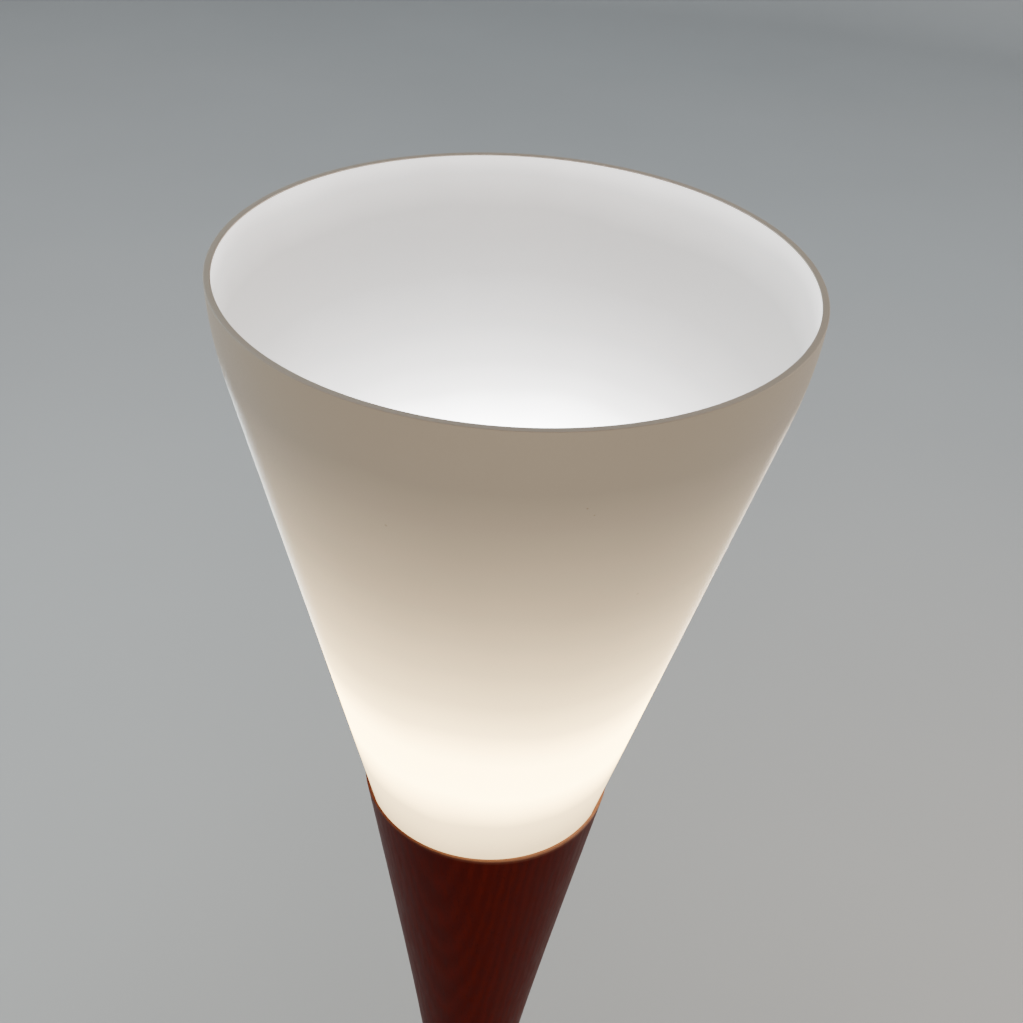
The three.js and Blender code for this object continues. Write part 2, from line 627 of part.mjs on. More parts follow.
// Weight: a flanged disc with a channel under it from the inlet to the switch.
function baseWeight() {
  const flangeTop = CAVITY_CEILING - 0.5;
  const disc = turned([
    [tubeHole, WEIGHT_BASE_Z],
    [weightRadius, WEIGHT_BASE_Z],
    [weightRadius, flangeTop],
    [bossRadius, flangeTop],
    [bossRadius, BOSS_CEILING],
    [tubeHole, BOSS_CEILING],
  ], SIDES);
  const channel = new THREE.Vector3(CHANNEL_WIDTH, 2 * weightRadius + 10, 2 * CHANNEL_ROOF);
  return carved(disc, block(0, 0, 0, channel));
}
addPiece(foot, "base_weight", baseWeight(), IRON);
addPiece(foot, "bottom_washer",
  ring(TUBE_RADIUS + PLAY, WASHER_RADIUS, CHANNEL_ROOF - WASHER_HEIGHT, CHANNEL_ROOF), STEEL);
addPiece(foot, "bottom_nut", hexNut(CHANNEL_ROOF - WASHER_HEIGHT - NUT_HEIGHT), STEEL);

// Cover plate, countersunk for its screws.
function bottomCover() {
  const sinks = coverScrewPlaces().map(([x, y]) => turned([
    [0, footBaseZ - 1],
    [SCREW_HEAD + PLAY + 1, footBaseZ - 1],
    [SCREW_SHANK + PLAY, footBaseZ + COVER_SHEET],
    [SCREW_SHANK + PLAY, footBaseZ + COVER_SHEET + 1],
    [0, footBaseZ + COVER_SHEET + 1],
  ], 12).translate(x, y, 0));
  return carved(rod(coverRadius, footBaseZ, footBaseZ + COVER_SHEET, SIDES), ...sinks);
}
addPiece(foot, "bottom_cover", bottomCover(), BLACK_PLASTIC);

function coverScrew() {
  const tipZ = footBaseZ + COVER_SCREW_LENGTH;
  return turned([
    [0, footBaseZ],
    [SCREW_HEAD, footBaseZ],
    [SCREW_SHANK, footBaseZ + COVER_SHEET - PLAY],
    [SCREW_SHANK, tipZ - 2],
    [0, tipZ],
  ], 12);
}
coverScrewPlaces().forEach(([x, y], i) => {
  addPiece(foot, `cover_screw_${i + 1}`, coverScrew(), STEEL).position.set(x, y, 0);
});

const feltOuter = FOOT_RADIUS - FELT_INSET;
addPiece(foot, "felt_ring", ring(feltOuter - FELT_WIDTH, feltOuter, 0, FELT_HEIGHT, SIDES), FELT);

// ---------------------------------------------------------------- mains inlet and terminal block
function inletBushing() {
  const face = FOOT_RADIUS - 0.7;
  return towardsRear(turned([
    [INLET_BORE, footCavityRadius - 1],
    [INLET_RADIUS, footCavityRadius - 1],
    [INLET_RADIUS, face - INLET_FLANGE],
    [INLET_FLANGE_RADIUS, face - INLET_FLANGE],
    [INLET_FLANGE_RADIUS, face],
    [INLET_BORE, face],
  ]));
}
addPiece(foot, "inlet_bushing", inletBushing(), BLACK_PLASTIC);

const blockTopZ = CAVITY_CEILING - PLAY;
const blockZ = blockTopZ - BLOCK.z / 2;
function terminalBlock() {
  const holes = [1, -1].map((side) =>
    rod(LEAD_RADIUS + PLAY, -BLOCK.y, BLOCK.y, 12).rotateX(Math.PI / 2)
      .translate(side * BLOCK_HOLE_OFFSET, blockReach, blockZ));
  return carved(block(0, blockReach, blockZ, BLOCK), ...holes,
    rod(SCREW_SHANK + PLAY, 0, CAVITY_CEILING, 12).translate(0, blockReach, 0));
}
addPiece(foot, "terminal_block", terminalBlock(), WHITE_PLASTIC);

const blockBaseZ = blockTopZ - BLOCK.z;
addPiece(foot, "block_screw", turned([
  [0, blockBaseZ - SCREW_HEAD_HEIGHT],
  [SCREW_HEAD, blockBaseZ - SCREW_HEAD_HEIGHT],
  [SCREW_HEAD, blockBaseZ - PLAY],
  [SCREW_SHANK, blockBaseZ - PLAY],
  [SCREW_SHANK, CAVITY_CEILING + 6],
  [0, CAVITY_CEILING + 8],
], 12), STEEL).position.set(0, blockReach, 0);

// ---------------------------------------------------------------- foot switch
const footSwitch = new THREE.Group();
footSwitch.position.set(0, -switchReach, 0);

addPiece(footSwitch, "switch_body",
  block(0, 0, switchBodyTopZ - SWITCH_BODY.z / 2, SWITCH_BODY), BLACK_PLASTIC);
addPiece(footSwitch, "switch_bushing",
  ring(BUSHING_BORE, BUSHING_RADIUS, switchBodyTopZ, bushingTopZ), CHROME);
addPiece(footSwitch, "switch_ring",
  ring(BUSHING_RADIUS + PLAY, RING_RADIUS, switchSeatZ, switchSeatZ + RING_HEIGHT), CHROME);

// The button's plunger runs in the bushing and stands on the spring.
function switchButton() {
  const crown = buttonZ + BUTTON_HEIGHT;
  return turned([
    [0, springBaseZ + SPRING_HEIGHT + PLAY],
    [PLUNGER_RADIUS, springBaseZ + SPRING_HEIGHT + PLAY],
    [PLUNGER_RADIUS, buttonZ],
    [BUTTON_RADIUS, buttonZ],
    [BUTTON_RADIUS, crown - 2],
    [BUTTON_RADIUS - 1.2, crown - 0.7],
    [BUTTON_RADIUS / 2, crown],
    [0, crown],
  ]);
}
addPiece(footSwitch, "switch_button", switchButton(), CHROME);

function switchSpring() {
  const coilRadius = PLUNGER_RADIUS - SPRING_WIRE - 0.4;
  const stepsPerTurn = 8;
  const steps = SPRING_TURNS * stepsPerTurn;
  const low = springBaseZ + SPRING_WIRE + PLAY / 2;
  const high = springBaseZ + SPRING_HEIGHT - SPRING_WIRE;
  const helix = Array.from({ length: steps + 1 }, (_, i) => {
    const angle = (2 * Math.PI * i) / stepsPerTurn;
    return [coilRadius * Math.cos(angle), coilRadius * Math.sin(angle), low + ((high - low) * i) / steps];
  });
  return wire(helix, SPRING_WIRE, { bend: 0 });
}
addPiece(footSwitch, "switch_spring", switchSpring(), STEEL);

// ---------------------------------------------------------------- internal leads
const leads = new THREE.Group();

// A lead's end is held under its terminal screw's head.
const clampX = terminalHeadX - PLAY - LEAD_RADIUS;

// Both lamp leads climb the tube side by side, and turn out to their terminals under the porcelain.
const topOfLead = (side) => [
  [side * LEAD_OFFSET, 0, TUBE_END_Z + 2],
  [side * LEAD_OFFSET, 0, COLUMN_JOINT_Z],
  [side * LEAD_OFFSET, 0, tubeTopZ - 4],
  [side * LEAD_OFFSET, 0, tubeTopZ],
  [side * (LEAD_OFFSET + 1.4), 0, holderZ - LEAD_RADIUS - 0.6],
  [side * clampX, 0, holderZ - LEAD_RADIUS - PLAY],
  [side * clampX, 0, terminalZ - SCREW_SHANK - PLAY],
];
const leadFloorZ = footBaseZ + COVER_SHEET + LEAD_RADIUS + 1;
const nutReach = NUT_ACROSS_FLATS / Math.sqrt(3) + 5;

addPiece(leads, "lead_neutral", wire([
  [-BLOCK_HOLE_OFFSET, blockReach - 3, blockZ],
  [-BLOCK_HOLE_OFFSET, blockReach - 12, blockZ],
  [-BLOCK_HOLE_OFFSET, blockReach - 30, leadFloorZ + 1],
  [-LEAD_OFFSET, 16, leadFloorZ],
  [-LEAD_OFFSET, 5, leadFloorZ],
  [-LEAD_OFFSET, 1, TUBE_END_Z - 3.5],
  ...topOfLead(-1),
], LEAD_RADIUS), LEAD_BLUE);

addPiece(leads, "lead_live", wire([
  [4, -(switchReach - SWITCH_BODY.y / 2 - PLAY), blockZ],
  [4, -(switchReach - 18), blockZ - 1],
  [LEAD_OFFSET, -30, leadFloorZ],
  [LEAD_OFFSET, -16, leadFloorZ],
  [LEAD_OFFSET, -5, leadFloorZ],
  [LEAD_OFFSET, -1, TUBE_END_Z - 3.5],
  ...topOfLead(1),
], LEAD_RADIUS), LEAD_BROWN);

addPiece(leads, "lead_switch_feed", wire([
  [BLOCK_HOLE_OFFSET, blockReach - 3, blockZ],
  [BLOCK_HOLE_OFFSET, blockReach - 12, blockZ],
  [nutReach - 2, 40, leadFloorZ + 1],
  [nutReach, 0, leadFloorZ],
  [nutReach, -40, leadFloorZ],
  [9, -(switchReach - 18), blockZ - 1],
  [8, -(switchReach - SWITCH_BODY.y / 2 - PLAY), blockZ],
], LEAD_RADIUS), LEAD_BROWN);

// ---------------------------------------------------------------- the whole lamp
const lamp = new THREE.Group();
lamp.add(shade, column, head, holder, bulb, foot, footSwitch, leads);
export default lamp;
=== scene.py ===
"""A torchiere floor lamp: an opal glass cone in the mouth of a turned wooden column, on a weighted foot.

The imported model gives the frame: every piece goes where a CAD node is, rides on that node's body, and
stands for it. Lengths are in metres, +Z is up and -Y is the front.
"""

import logging
import math
from abc import ABC, abstractmethod
from collections.abc import Callable, Iterable, Sequence
from dataclasses import dataclass, field
from enum import Enum

import bmesh
import bpy
from mathutils import Matrix, Vector


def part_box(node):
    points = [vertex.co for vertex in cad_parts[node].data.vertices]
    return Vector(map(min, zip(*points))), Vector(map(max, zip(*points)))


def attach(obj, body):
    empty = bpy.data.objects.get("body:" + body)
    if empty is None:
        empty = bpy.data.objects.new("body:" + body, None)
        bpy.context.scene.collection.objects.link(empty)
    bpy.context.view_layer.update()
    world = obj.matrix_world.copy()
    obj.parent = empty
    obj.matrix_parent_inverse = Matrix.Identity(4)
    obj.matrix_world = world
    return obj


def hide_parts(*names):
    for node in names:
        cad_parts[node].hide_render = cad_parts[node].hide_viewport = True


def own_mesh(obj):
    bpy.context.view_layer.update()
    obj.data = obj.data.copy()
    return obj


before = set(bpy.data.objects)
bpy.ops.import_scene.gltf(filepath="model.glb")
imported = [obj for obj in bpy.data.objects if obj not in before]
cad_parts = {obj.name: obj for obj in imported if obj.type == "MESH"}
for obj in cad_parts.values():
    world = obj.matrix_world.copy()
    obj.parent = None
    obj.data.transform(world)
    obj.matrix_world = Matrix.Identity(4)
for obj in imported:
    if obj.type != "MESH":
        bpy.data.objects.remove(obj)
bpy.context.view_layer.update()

logger = logging.getLogger("torchiere")

MM = 0.001
Outline = list[tuple[float, float]]
Colour = tuple[float, float, float]
Piece = bpy.types.Object
Socket = bpy.types.NodeSocket

CRISP_ANGLE = 38.0
PLAY = 0.3 * MM
TUBE_PLAY = 0.8 * MM
SCREW_BORE = 1.8 * MM
BULB_PITCH = 3.62 * MM
CUP_SHEET = 1.2 * MM
CUP_DRAFT = 9 * MM
FOOT_TENON = 18 * MM

# A slight turn that keeps a round cutter's corners off the edges of the piece that it cuts.
ASKEW = Matrix.Rotation(math.radians(1.1), 4, "Z")

MIX_SHARE, MIX_FIRST, MIX_SECOND, MIX_RESULT = 0, 6, 7, 2


# ---------------------------------------------------------------- shaping tools


@dataclass(frozen=True)
class Corner:
    """A corner of a turned outline, and how far along each side its rounding reaches."""

    radius: float
    height: float
    ease: float = 0.0


def eased(corners: Sequence[Corner], closed: bool = True, steps: int = 4) -> Outline:
    """Rounds the corners of an outline.

    Args:
        corners: The outline's corners, in order.
        closed: Whether the last corner joins the first.
        steps: Spans in each rounding.

    Returns:
        The outline as (radius, height) points.
    """
    points: Outline = []
    count = len(corners)
    for i, corner in enumerate(corners):
        here = Vector((corner.radius, corner.height))
        at_end = not closed and i in (0, count - 1)
        if corner.ease == 0 or at_end:
            points.append((here.x, here.y))
            continue
        sides = (corners[i - 1], corners[(i + 1) % count])
        reaches = [Vector((side.radius, side.height)) - here for side in sides]
        ends = [here + r.normalized() * min(corner.ease, r.length * 0.45) for r in reaches]
        for k in range(steps + 1):
            t = k / steps
            point = ends[0] * (1 - t) ** 2 + here * 2 * t * (1 - t) + ends[1] * t**2
            points.append((point.x, point.y))
    return points


def traced(radius_at: Callable[[float], float], start: float, end: float, steps: int) -> Outline:
    """Points along a curve that is given as a radius for each height, both ends included."""
    heights = [start + (end - start) * i / steps for i in range(steps + 1)]
    return [(radius_at(z), z) for z in heights]


def new_piece(name: str, shape: bmesh.types.BMesh, sharp_above: float = CRISP_ANGLE) -> Piece:
    """Makes a shape into an object with smooth faces and crisp corners.

    Args:
        name: The piece's name.
        shape: Its faces; freed here.
        sharp_above: Angle between faces, in degrees, above which an edge stays crisp.

    Returns:
        The new object.
    """
    bmesh.ops.recalc_face_normals(shape, faces=shape.faces)
    mesh = bpy.data.meshes.new(name)
    shape.to_mesh(mesh)
    shape.free()
    mesh.shade_smooth()
    mesh.set_sharp_from_angle(angle=math.radians(sharp_above))
    piece = bpy.data.objects.new(name, mesh)
    bpy.context.scene.collection.objects.link(piece)
    return piece


def turned(name: str, outline: Outline, segments: int = 64, paint: Sequence[int] = ()) -> Piece:
    """Turns an outline about Z, as a lathe does.

    Args:
        name: The piece's name.
        outline: Points (radius, height); it ends on the axis, or closes on itself.
        segments: Facets round the axis.
        paint: A material index for each span of the outline, if it has more than one.

    Returns:
        The turned piece.
    """
    shape = bmesh.new()
    on_axis = 1e-7
    rows = []
    for radius, height in outline:
        if radius < on_axis:
            rows.append([shape.verts.new((0, 0, height))] * segments)
            continue
        angles = [2 * math.pi * k / segments for k in range(segments)]
        rows.append([shape.verts.new((radius * math.cos(a), radius * math.sin(a), height)) for a in angles])
    open_ended = outline[0][0] < on_axis
    spans = len(rows) - 1 if open_ended else len(rows)
    for i in range(spans):
        low, high = rows[i], rows[(i + 1) % len(rows)]
        for k in range(segments):
            ring = [low[k], low[(k + 1) % segments], high[(k + 1) % segments], high[k]]
            corners = list(dict.fromkeys(ring))
            if len(corners) > 2:
                face = shape.faces.new(corners)
                face.material_index = paint[i] if paint else 0
    return new_piece(name, shape)


def cut_thread(
    piece: Piece,
    radius: float,
    span: tuple[float, float],
    pitch: float,
    depth: float,
    sink: float = 1.0,
    phase: float = 0.0,
) -> None:
    """Presses a right-hand screw thread into a turned wall.

    Args:
        piece: The turned piece, with closely spaced rows where the thread goes.
        radius: The wall's radius before the thread.
        span: Lowest and highest height of the thread.
        pitch: Height of one turn.
        depth: Crest to root.
        sink: 1 cuts inwards from the radius, -1 outwards.
        phase: Share of a turn that the thread is shifted by.
    """
    near = 0.05 * MM
    run_out = pitch
    for vertex in piece.data.vertices:
        x, y, z = vertex.co
        if abs(math.hypot(x, y) - radius) > near or not span[0] <= z <= span[1]:
            continue
        turn = (z / pitch - math.atan2(y, x) / (2 * math.pi) + phase) % 1.0
        wave = 0.5 - 0.5 * math.cos(2 * math.pi * turn)
        fade = min(1.0, (z - span[0]) / run_out, (span[1] - z) / run_out)
        scale = 1 - sink * depth * wave * fade / radius
        vertex.co = (x * scale, y * scale, z)


def spaced(radius: float, low: float, high: float, step: float) -> Outline:
    """Points up a straight wall, close enough to hold a thread."""
    steps = max(1, round(abs(high - low) / step))
    return traced(lambda _: radius, low, high, steps)


def block(name: str, low: Vector, high: Vector, bevel: float) -> Piece:
    """A box with rounded edges.

    Args:
        name: The piece's name.
        low: Its lowest corner.
        high: Its highest corner.
        bevel: How far the rounding reaches from each edge.

    Returns:
        The box.
    """
    shape = bmesh.new()
    size = high - low
    place = Matrix.Translation((low + high) / 2) @ Matrix.Diagonal((*size, 1))
    bmesh.ops.create_cube(shape, size=1, matrix=place)
    bmesh.ops.bevel(shape, geom=shape.edges[:], offset=bevel, segments=3, affect="EDGES", profile=0.5)
    return new_piece(name, shape)


def swept(name: str, path: Sequence[Vector], radius: float, sides: int = 12) -> Piece:
    """A round wire along a path, closed at both ends.

    Args:
        name: The piece's name.
        path: Points along its middle.
        radius: The wire's radius.
        sides: Facets round it.

    Returns:
        The wire.
    """
    shape = bmesh.new()
    across = (path[1] - path[0]).orthogonal().normalized()
    rows = []
    for i, point in enumerate(path):
        ahead = path[min(i + 1, len(path) - 1)] - path[max(i - 1, 0)]
        along = ahead.normalized()
        across = (across - along * across.dot(along)).normalized()
        beside = along.cross(across)
        angles = [2 * math.pi * k / sides for k in range(sides)]
        spokes = [(across * math.cos(a) + beside * math.sin(a)) * radius for a in angles]
        rows.append([shape.verts.new(point + spoke) for spoke in spokes])
    for low, high in zip(rows, rows[1:]):
        for k in range(sides):
            shape.faces.new([low[k], low[(k + 1) % sides], high[(k + 1) % sides], high[k]])
    shape.faces.new(rows[0])
    shape.faces.new(rows[-1])
    return new_piece(name, shape)


def bent_path(corners: Sequence[Vector], ease: float, steps: int = 6) -> list[Vector]:
    """A path through corners, each rounded.

    Args:
        corners: The path's corners.
        ease: How far along each side a rounding reaches.
        steps: Spans in each rounding.

    Returns:
        Points along the path.
    """
    points = [corners[0]]
    for before, here, after in zip(corners, corners[1:], corners[2:]):
        start = here + (before - here).normalized() * min(ease, (before - here).length * 0.4)
        end = here + (after - here).normalized() * min(ease, (after - here).length * 0.4)
        for k in range(steps + 1):
            t = k / steps
            points.append(start * (1 - t) ** 2 + here * 2 * t * (1 - t) + end * t**2)
    return [*points, corners[-1]]


def cut_away(piece: Piece, *cutters: Piece) -> None:
    """Cuts the shapes of other objects out of a piece, and removes those objects.

    Args:
        piece: The piece that is cut.
        cutters: Closed shapes.
    """
    for cutter in cutters:
        step = piece.modifiers.new("cut", "BOOLEAN")
        step.operation = "DIFFERENCE"
        step.solver = "EXACT"
        step.object = cutter
    graph = bpy.context.evaluated_depsgraph_get()
    whole = bpy.data.meshes.new_from_object(piece.evaluated_get(graph))
    piece.modifiers.clear()
    piece.data = whole
    whole.set_sharp_from_angle(angle=math.radians(CRISP_ANGLE))
    for cutter in cutters:
        bpy.data.objects.remove(cutter)


def dressed(piece: Piece, *finishes: "Finish") -> Piece:
    """Gives a piece its materials.

    Args:
        piece: The piece.
        finishes: Its finishes, appended in order as its materials.

    Returns:
        The piece.
    """
    for finish in finishes:
        piece.data.materials.append(finish.material())
    return piece


def fitted(piece: Piece, body: str, *nodes: str) -> Piece:
    """Puts a piece on a body, in place of CAD nodes.

    Args:
        piece: The piece.
        body: The CAD body that it rides on.
        nodes: The nodes that it stands for.

    Returns:
        The piece.
    """
    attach(piece, body)
    if nodes:
        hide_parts(*nodes)
    return piece


@dataclass(frozen=True)
class NodeBox:
    """Where a CAD node lies at rest."""

    low: Vector
    high: Vector

    @classmethod
    def of(cls, node: str) -> "NodeBox":
        """Reads a node's box from the frame."""
        return cls(*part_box(node))

    @property
    def radius(self) -> float:
        """Half the node's width along X."""
        return (self.high.x - self.low.x) / 2

    @property
    def middle(self) -> Vector:
        """The box's centre."""
        return (self.low + self.high) / 2


# ---------------------------------------------------------------- finishes


class Sketch:
    """A material in the making, with short calls for the nodes that the finishes share."""

    def __init__(self, name: str) -> None:
        """Starts a material with one Principled shader.

        Args:
            name: The material's name.
        """
        self.material = bpy.data.materials.new(name)
        self.material.use_nodes = True
        self.nodes = self.material.node_tree.nodes
        self.links = self.material.node_tree.links
        self.shader = self.nodes["Principled BSDF"]

    def set(self, **values: float | Colour) -> None:
        """Sets plain values on the shader.

        Args:
            values: Socket names, with underscores for spaces, and their values.
        """
        for name, value in values.items():
            whole = (*value, 1.0) if isinstance(value, tuple) else value
            self.shader.inputs[name.replace("_", " ")].default_value = whole

    def feed(self, socket: str, source: Socket) -> None:
        """Links a value to one of the shader's sockets."""
        self.links.new(source, self.shader.inputs[socket])

    def node(self, kind: str, inputs: dict, **settings) -> bpy.types.Node:
        """Adds a node.

        Args:
            kind: The node's type, without its ShaderNode prefix.
            inputs: A value or a source socket for each input, by name or number.
            settings: The node's own settings.

        Returns:
            The node.
        """
        made = self.nodes.new("ShaderNode" + kind)
        for name, value in settings.items():
            setattr(made, name, value)
        for key, value in inputs.items():
            if isinstance(value, Socket):
                self.links.new(value, made.inputs[key])
            else:
                made.inputs[key].default_value = value
        return made

    def place(self, scale: Colour = (1.0, 1.0, 1.0), shift: Colour = (0.0, 0.0, 0.0)) -> Socket:
        """The point's own coordinates in metres, stretched and shifted.

        Args:
            scale: Stretch along each axis.
            shift: Shift along each axis.

        Returns:
            The coordinates.
        """
        coordinates = self.node("TexCoord", {}).outputs["Object"]
        inputs = {"Vector": coordinates, "Scale": scale, "Location": shift}
        return self.node("Mapping", inputs).outputs["Vector"]

    def height(self) -> Socket:
        """The point's height above the floor, in metres."""
        return self.node("SeparateXYZ", {"Vector": self.place()}).outputs["Z"]

    def noise(self, place: Socket, scale: float, detail: float = 3.0, warp: float = 0.0) -> Socket:
        """Soft random clouds from 0 to 1."""
        inputs = {"Vector": place, "Scale": scale, "Detail": detail, "Distortion": warp}
        return self.node("TexNoise", inputs).outputs["Fac"]

    def ramp(self, value: Socket, stops: Sequence[tuple[float, Colour]]) -> Socket:
        """Turns a value into a colour.

        Args:
            value: The value, from 0 to 1.
            stops: Places from 0 to 1 and their colours.

        Returns:
            The colour.
        """
        made = self.node("ValToRGB", {"Fac": value})
        elements = made.color_ramp.elements
        while len(elements) < len(stops):
            elements.new(0.5)
        for element, (position, colour) in zip(elements, stops):
            element.position = position
            element.color = (*colour, 1.0)
        return made.outputs["Color"]

    def spread(self, value: Socket, source: tuple[float, float], target: tuple[float, float]) -> Socket:
        """Maps one range of values to another, held at both ends."""
        inputs = {0: value, 1: source[0], 2: source[1], 3: target[0], 4: target[1]}
        return self.node("MapRange", inputs).outputs["Result"]

    def combine(self, operation: str, first: Socket | float, second: Socket | float) -> Socket:
        """One step of arithmetic."""
        return self.node("Math", {0: first, 1: second}, operation=operation).outputs["Value"]

    def blend(
        self, share: Socket | float, first: Socket | Colour, second: Socket | Colour, how: str = "MIX"
    ) -> Socket:
        """Mixes two colours.

        Args:
            share: How much of the second colour shows, from 0 to 1.
            first: The first colour.
            second: The second.
            how: The kind of mixing.

        Returns:
            The mixed colour.
        """
        made = self.node("Mix", {}, data_type="RGBA", blend_type=how)
        for index, value in ((MIX_SHARE, share), (MIX_FIRST, first), (MIX_SECOND, second)):
            if isinstance(value, Socket):
                self.links.new(value, made.inputs[index])
            else:
                made.inputs[index].default_value = (*value, 1.0) if isinstance(value, tuple) else value
        return made.outputs[MIX_RESULT]

    def relief(self, height: Socket, depth: float, strength: float = 1.0) -> None:
        """Raises the surface's shading by a height from 0 to 1, where 1 stands for the depth in metres."""
        bump = self.node("Bump", {"Height": height, "Distance": depth, "Strength": strength})
        self.feed("Normal", bump.outputs["Normal"])


@dataclass(frozen=True)
class Finish(ABC):
    """A surface finish that makes its material once."""

    name: str
    slot: str

    def material(self) -> bpy.types.Material:
        """The finish's material, made on first use.

        Returns:
            The material.
        """
        known = bpy.data.materials.get(self.name)
        if known is not None:
            return known
        sketch = Sketch(self.name)
        self.draw(sketch)
        return sketch.material

    @abstractmethod
    def draw(self, sketch: Sketch) -> None:
        """Adds the finish's nodes to the material in the making."""


class GlassSide(Enum):
    """The three surfaces of the glass."""

    OUTSIDE = "outside"
    INSIDE = "inside"
    RIM = "rim"


@dataclass(frozen=True)
class Speck:
    """A grain caught in the glass: degrees round from the front, depth below the rim, and radius."""

    turn: float
    depth: float
    radius: float


@dataclass(frozen=True)
class OpalGlass(Finish):
    """White opal glass with a light burning low inside it; the light's glow through the glass is painted on
    as emission.

    The painted glow is given as pairs of depth below the rim, in mm, and brightness, with 1 for the
    brightest.
    """

    side: GlassSide = GlassSide.OUTSIDE
    rim_height: float = 1.5
    glass_height: float = 0.315
    brightest: float = 16.0
    radius_at: Callable[[float], float] | None = None
    specks: tuple[Speck, ...] = (
        Speck(-21, 56 * MM, 0.75 * MM),
        Speck(14, 36 * MM, 0.5 * MM),
        Speck(15.5, 40 * MM, 0.45 * MM),
        Speck(30, 94 * MM, 0.8 * MM),
        Speck(118, 70 * MM, 0.6 * MM),
        Speck(205, 110 * MM, 0.7 * MM),
    )

    # Base colours of the one glass: the inside lighter as painted light, the outside darker as painted
    # shade, the ground rim between.
    SHADED_AND_LIT_BODY = {
        GlassSide.OUTSIDE: (0.165, 0.157, 0.145),
        GlassSide.INSIDE: (0.3, 0.293, 0.287),
        GlassSide.RIM: (0.25, 0.222, 0.19),
    }
    # Tints of the painted glow, faint and bright.
    FAINT_TINT = {
        GlassSide.OUTSIDE: (1.0, 0.77, 0.51),
        GlassSide.INSIDE: (1.0, 0.955, 0.93),
        GlassSide.RIM: (1.0, 0.8, 0.62),
    }
    BRIGHT_TINT = {
        GlassSide.OUTSIDE: (1.0, 0.69, 0.26),
        GlassSide.INSIDE: (1.0, 1.0, 1.0),
        GlassSide.RIM: (1.0, 0.8, 0.62),
    }
    # Painted glow: emission by depth below the rim, standing in for the bulb's light through the glass.
    PAINTED_GLOW = {
        GlassSide.OUTSIDE: (
            (0, 0.0125), (28, 0.0125), (47, 0.018), (64, 0.026), (82, 0.036), (101, 0.05),
            (121, 0.075), (142, 0.115), (165, 0.19), (189, 0.36), (215, 0.92), (243, 1.0),
            (272, 0.27), (300, 0.15),
        ),
        GlassSide.INSIDE: (
            (0, 0.09), (10, 0.045), (28, 0.02), (60, 0.024), (85, 0.045), (105, 0.09), (120, 0.18),
            (135, 0.45), (150, 0.85), (170, 1.0), (188, 0.9), (212, 0.36), (245, 0.2), (303, 0.13),
        ),
        GlassSide.RIM: ((0, 0.006), (5, 0.006)),
    }
    FAINTEST = 0.0125

    def draw(self, sketch: Sketch) -> None:
        """Adds the painted glow, the cast glass's slight unevenness and its satin surface.

        Args:
            sketch: The material in the making.
        """
        ends = (self.rim_height, self.rim_height - self.glass_height)
        depth = sketch.spread(sketch.height(), ends, (0.0, 1.0))
        clouds = sketch.noise(sketch.place(), 14.0, detail=2.0)
        uneven = sketch.spread(clouds, (0.3, 0.7), (-0.008, 0.008))
        # The side's base colour, lightened inside and darkened outside as painted light and shade.
        body = self.SHADED_AND_LIT_BODY[self.side]
        stops = [
            (min(1.0, depth_mm * MM / self.glass_height), self.lit(brightness))
            for depth_mm, brightness in self.PAINTED_GLOW[self.side]
        ]
        # The painted glow, emitted by the glass itself.
        sketch.feed("Emission Color", sketch.ramp(sketch.combine("ADD", depth, uneven), stops))
        fine = sketch.noise(sketch.place(), 900.0, detail=4.0)
        tone = sketch.ramp(fine, [(0.3, tuple(share * 0.96 for share in body)), (0.7, body)])
        if self.side is GlassSide.OUTSIDE:
            tone = self.specked(sketch, tone)
        sketch.feed("Base Color", tone)
        grip = (0.55, 0.7) if self.side is GlassSide.RIM else (0.36, 0.46)
        sketch.feed("Roughness", sketch.spread(fine, (0.3, 0.7), grip))
        sketch.relief(fine, 0.02 * MM, 0.4)
        sketch.set(Emission_Strength=self.brightest, IOR=1.5)

    def lit(self, brightness: float) -> Colour:
        """The painted glow's colour at a brightness: it shifts from the faint tint to the bright one.

        Args:
            brightness: Share of the brightest glow.

        Returns:
            The colour, with the brightness in it.
        """
        share = 0.0
        if brightness > self.FAINTEST:
            share = 1.0 - math.log(brightness) / math.log(self.FAINTEST)
        ends = zip(self.FAINT_TINT[self.side], self.BRIGHT_TINT[self.side])
        return tuple(brightness * (faint + (bright - faint) * share) for faint, bright in ends)

    def specked(self, sketch: Sketch, tone: Socket) -> Socket:
        """Adds the specks.

        Args:
            sketch: The material in the making.
            tone: The glass's colour.

        Returns:
            The colour with the specks in it.
        """
        for speck in self.specks:
            turn, height = math.radians(speck.turn - 90), self.rim_height - speck.depth
            reach = self.radius_at(height)
            spot = (reach * math.cos(turn), reach * math.sin(turn), height)
            apart = {0: sketch.place(), 1: spot}
            away = sketch.node("VectorMath", apart, operation="DISTANCE").outputs["Value"]
            cover = sketch.spread(away, (0.55 * speck.radius, speck.radius), (0.85, 0.0))
            tone = sketch.blend(cover, tone, (0.02, 0.017, 0.015))
        return tone


class GrainRun(Enum):
    """Which way the wood's grain runs, as how far the pattern is drawn out along each axis."""

    UPRIGHT = (1.0, 1.0, 0.06)
    CROSSWISE = (0.06, 1.0, 1.0)


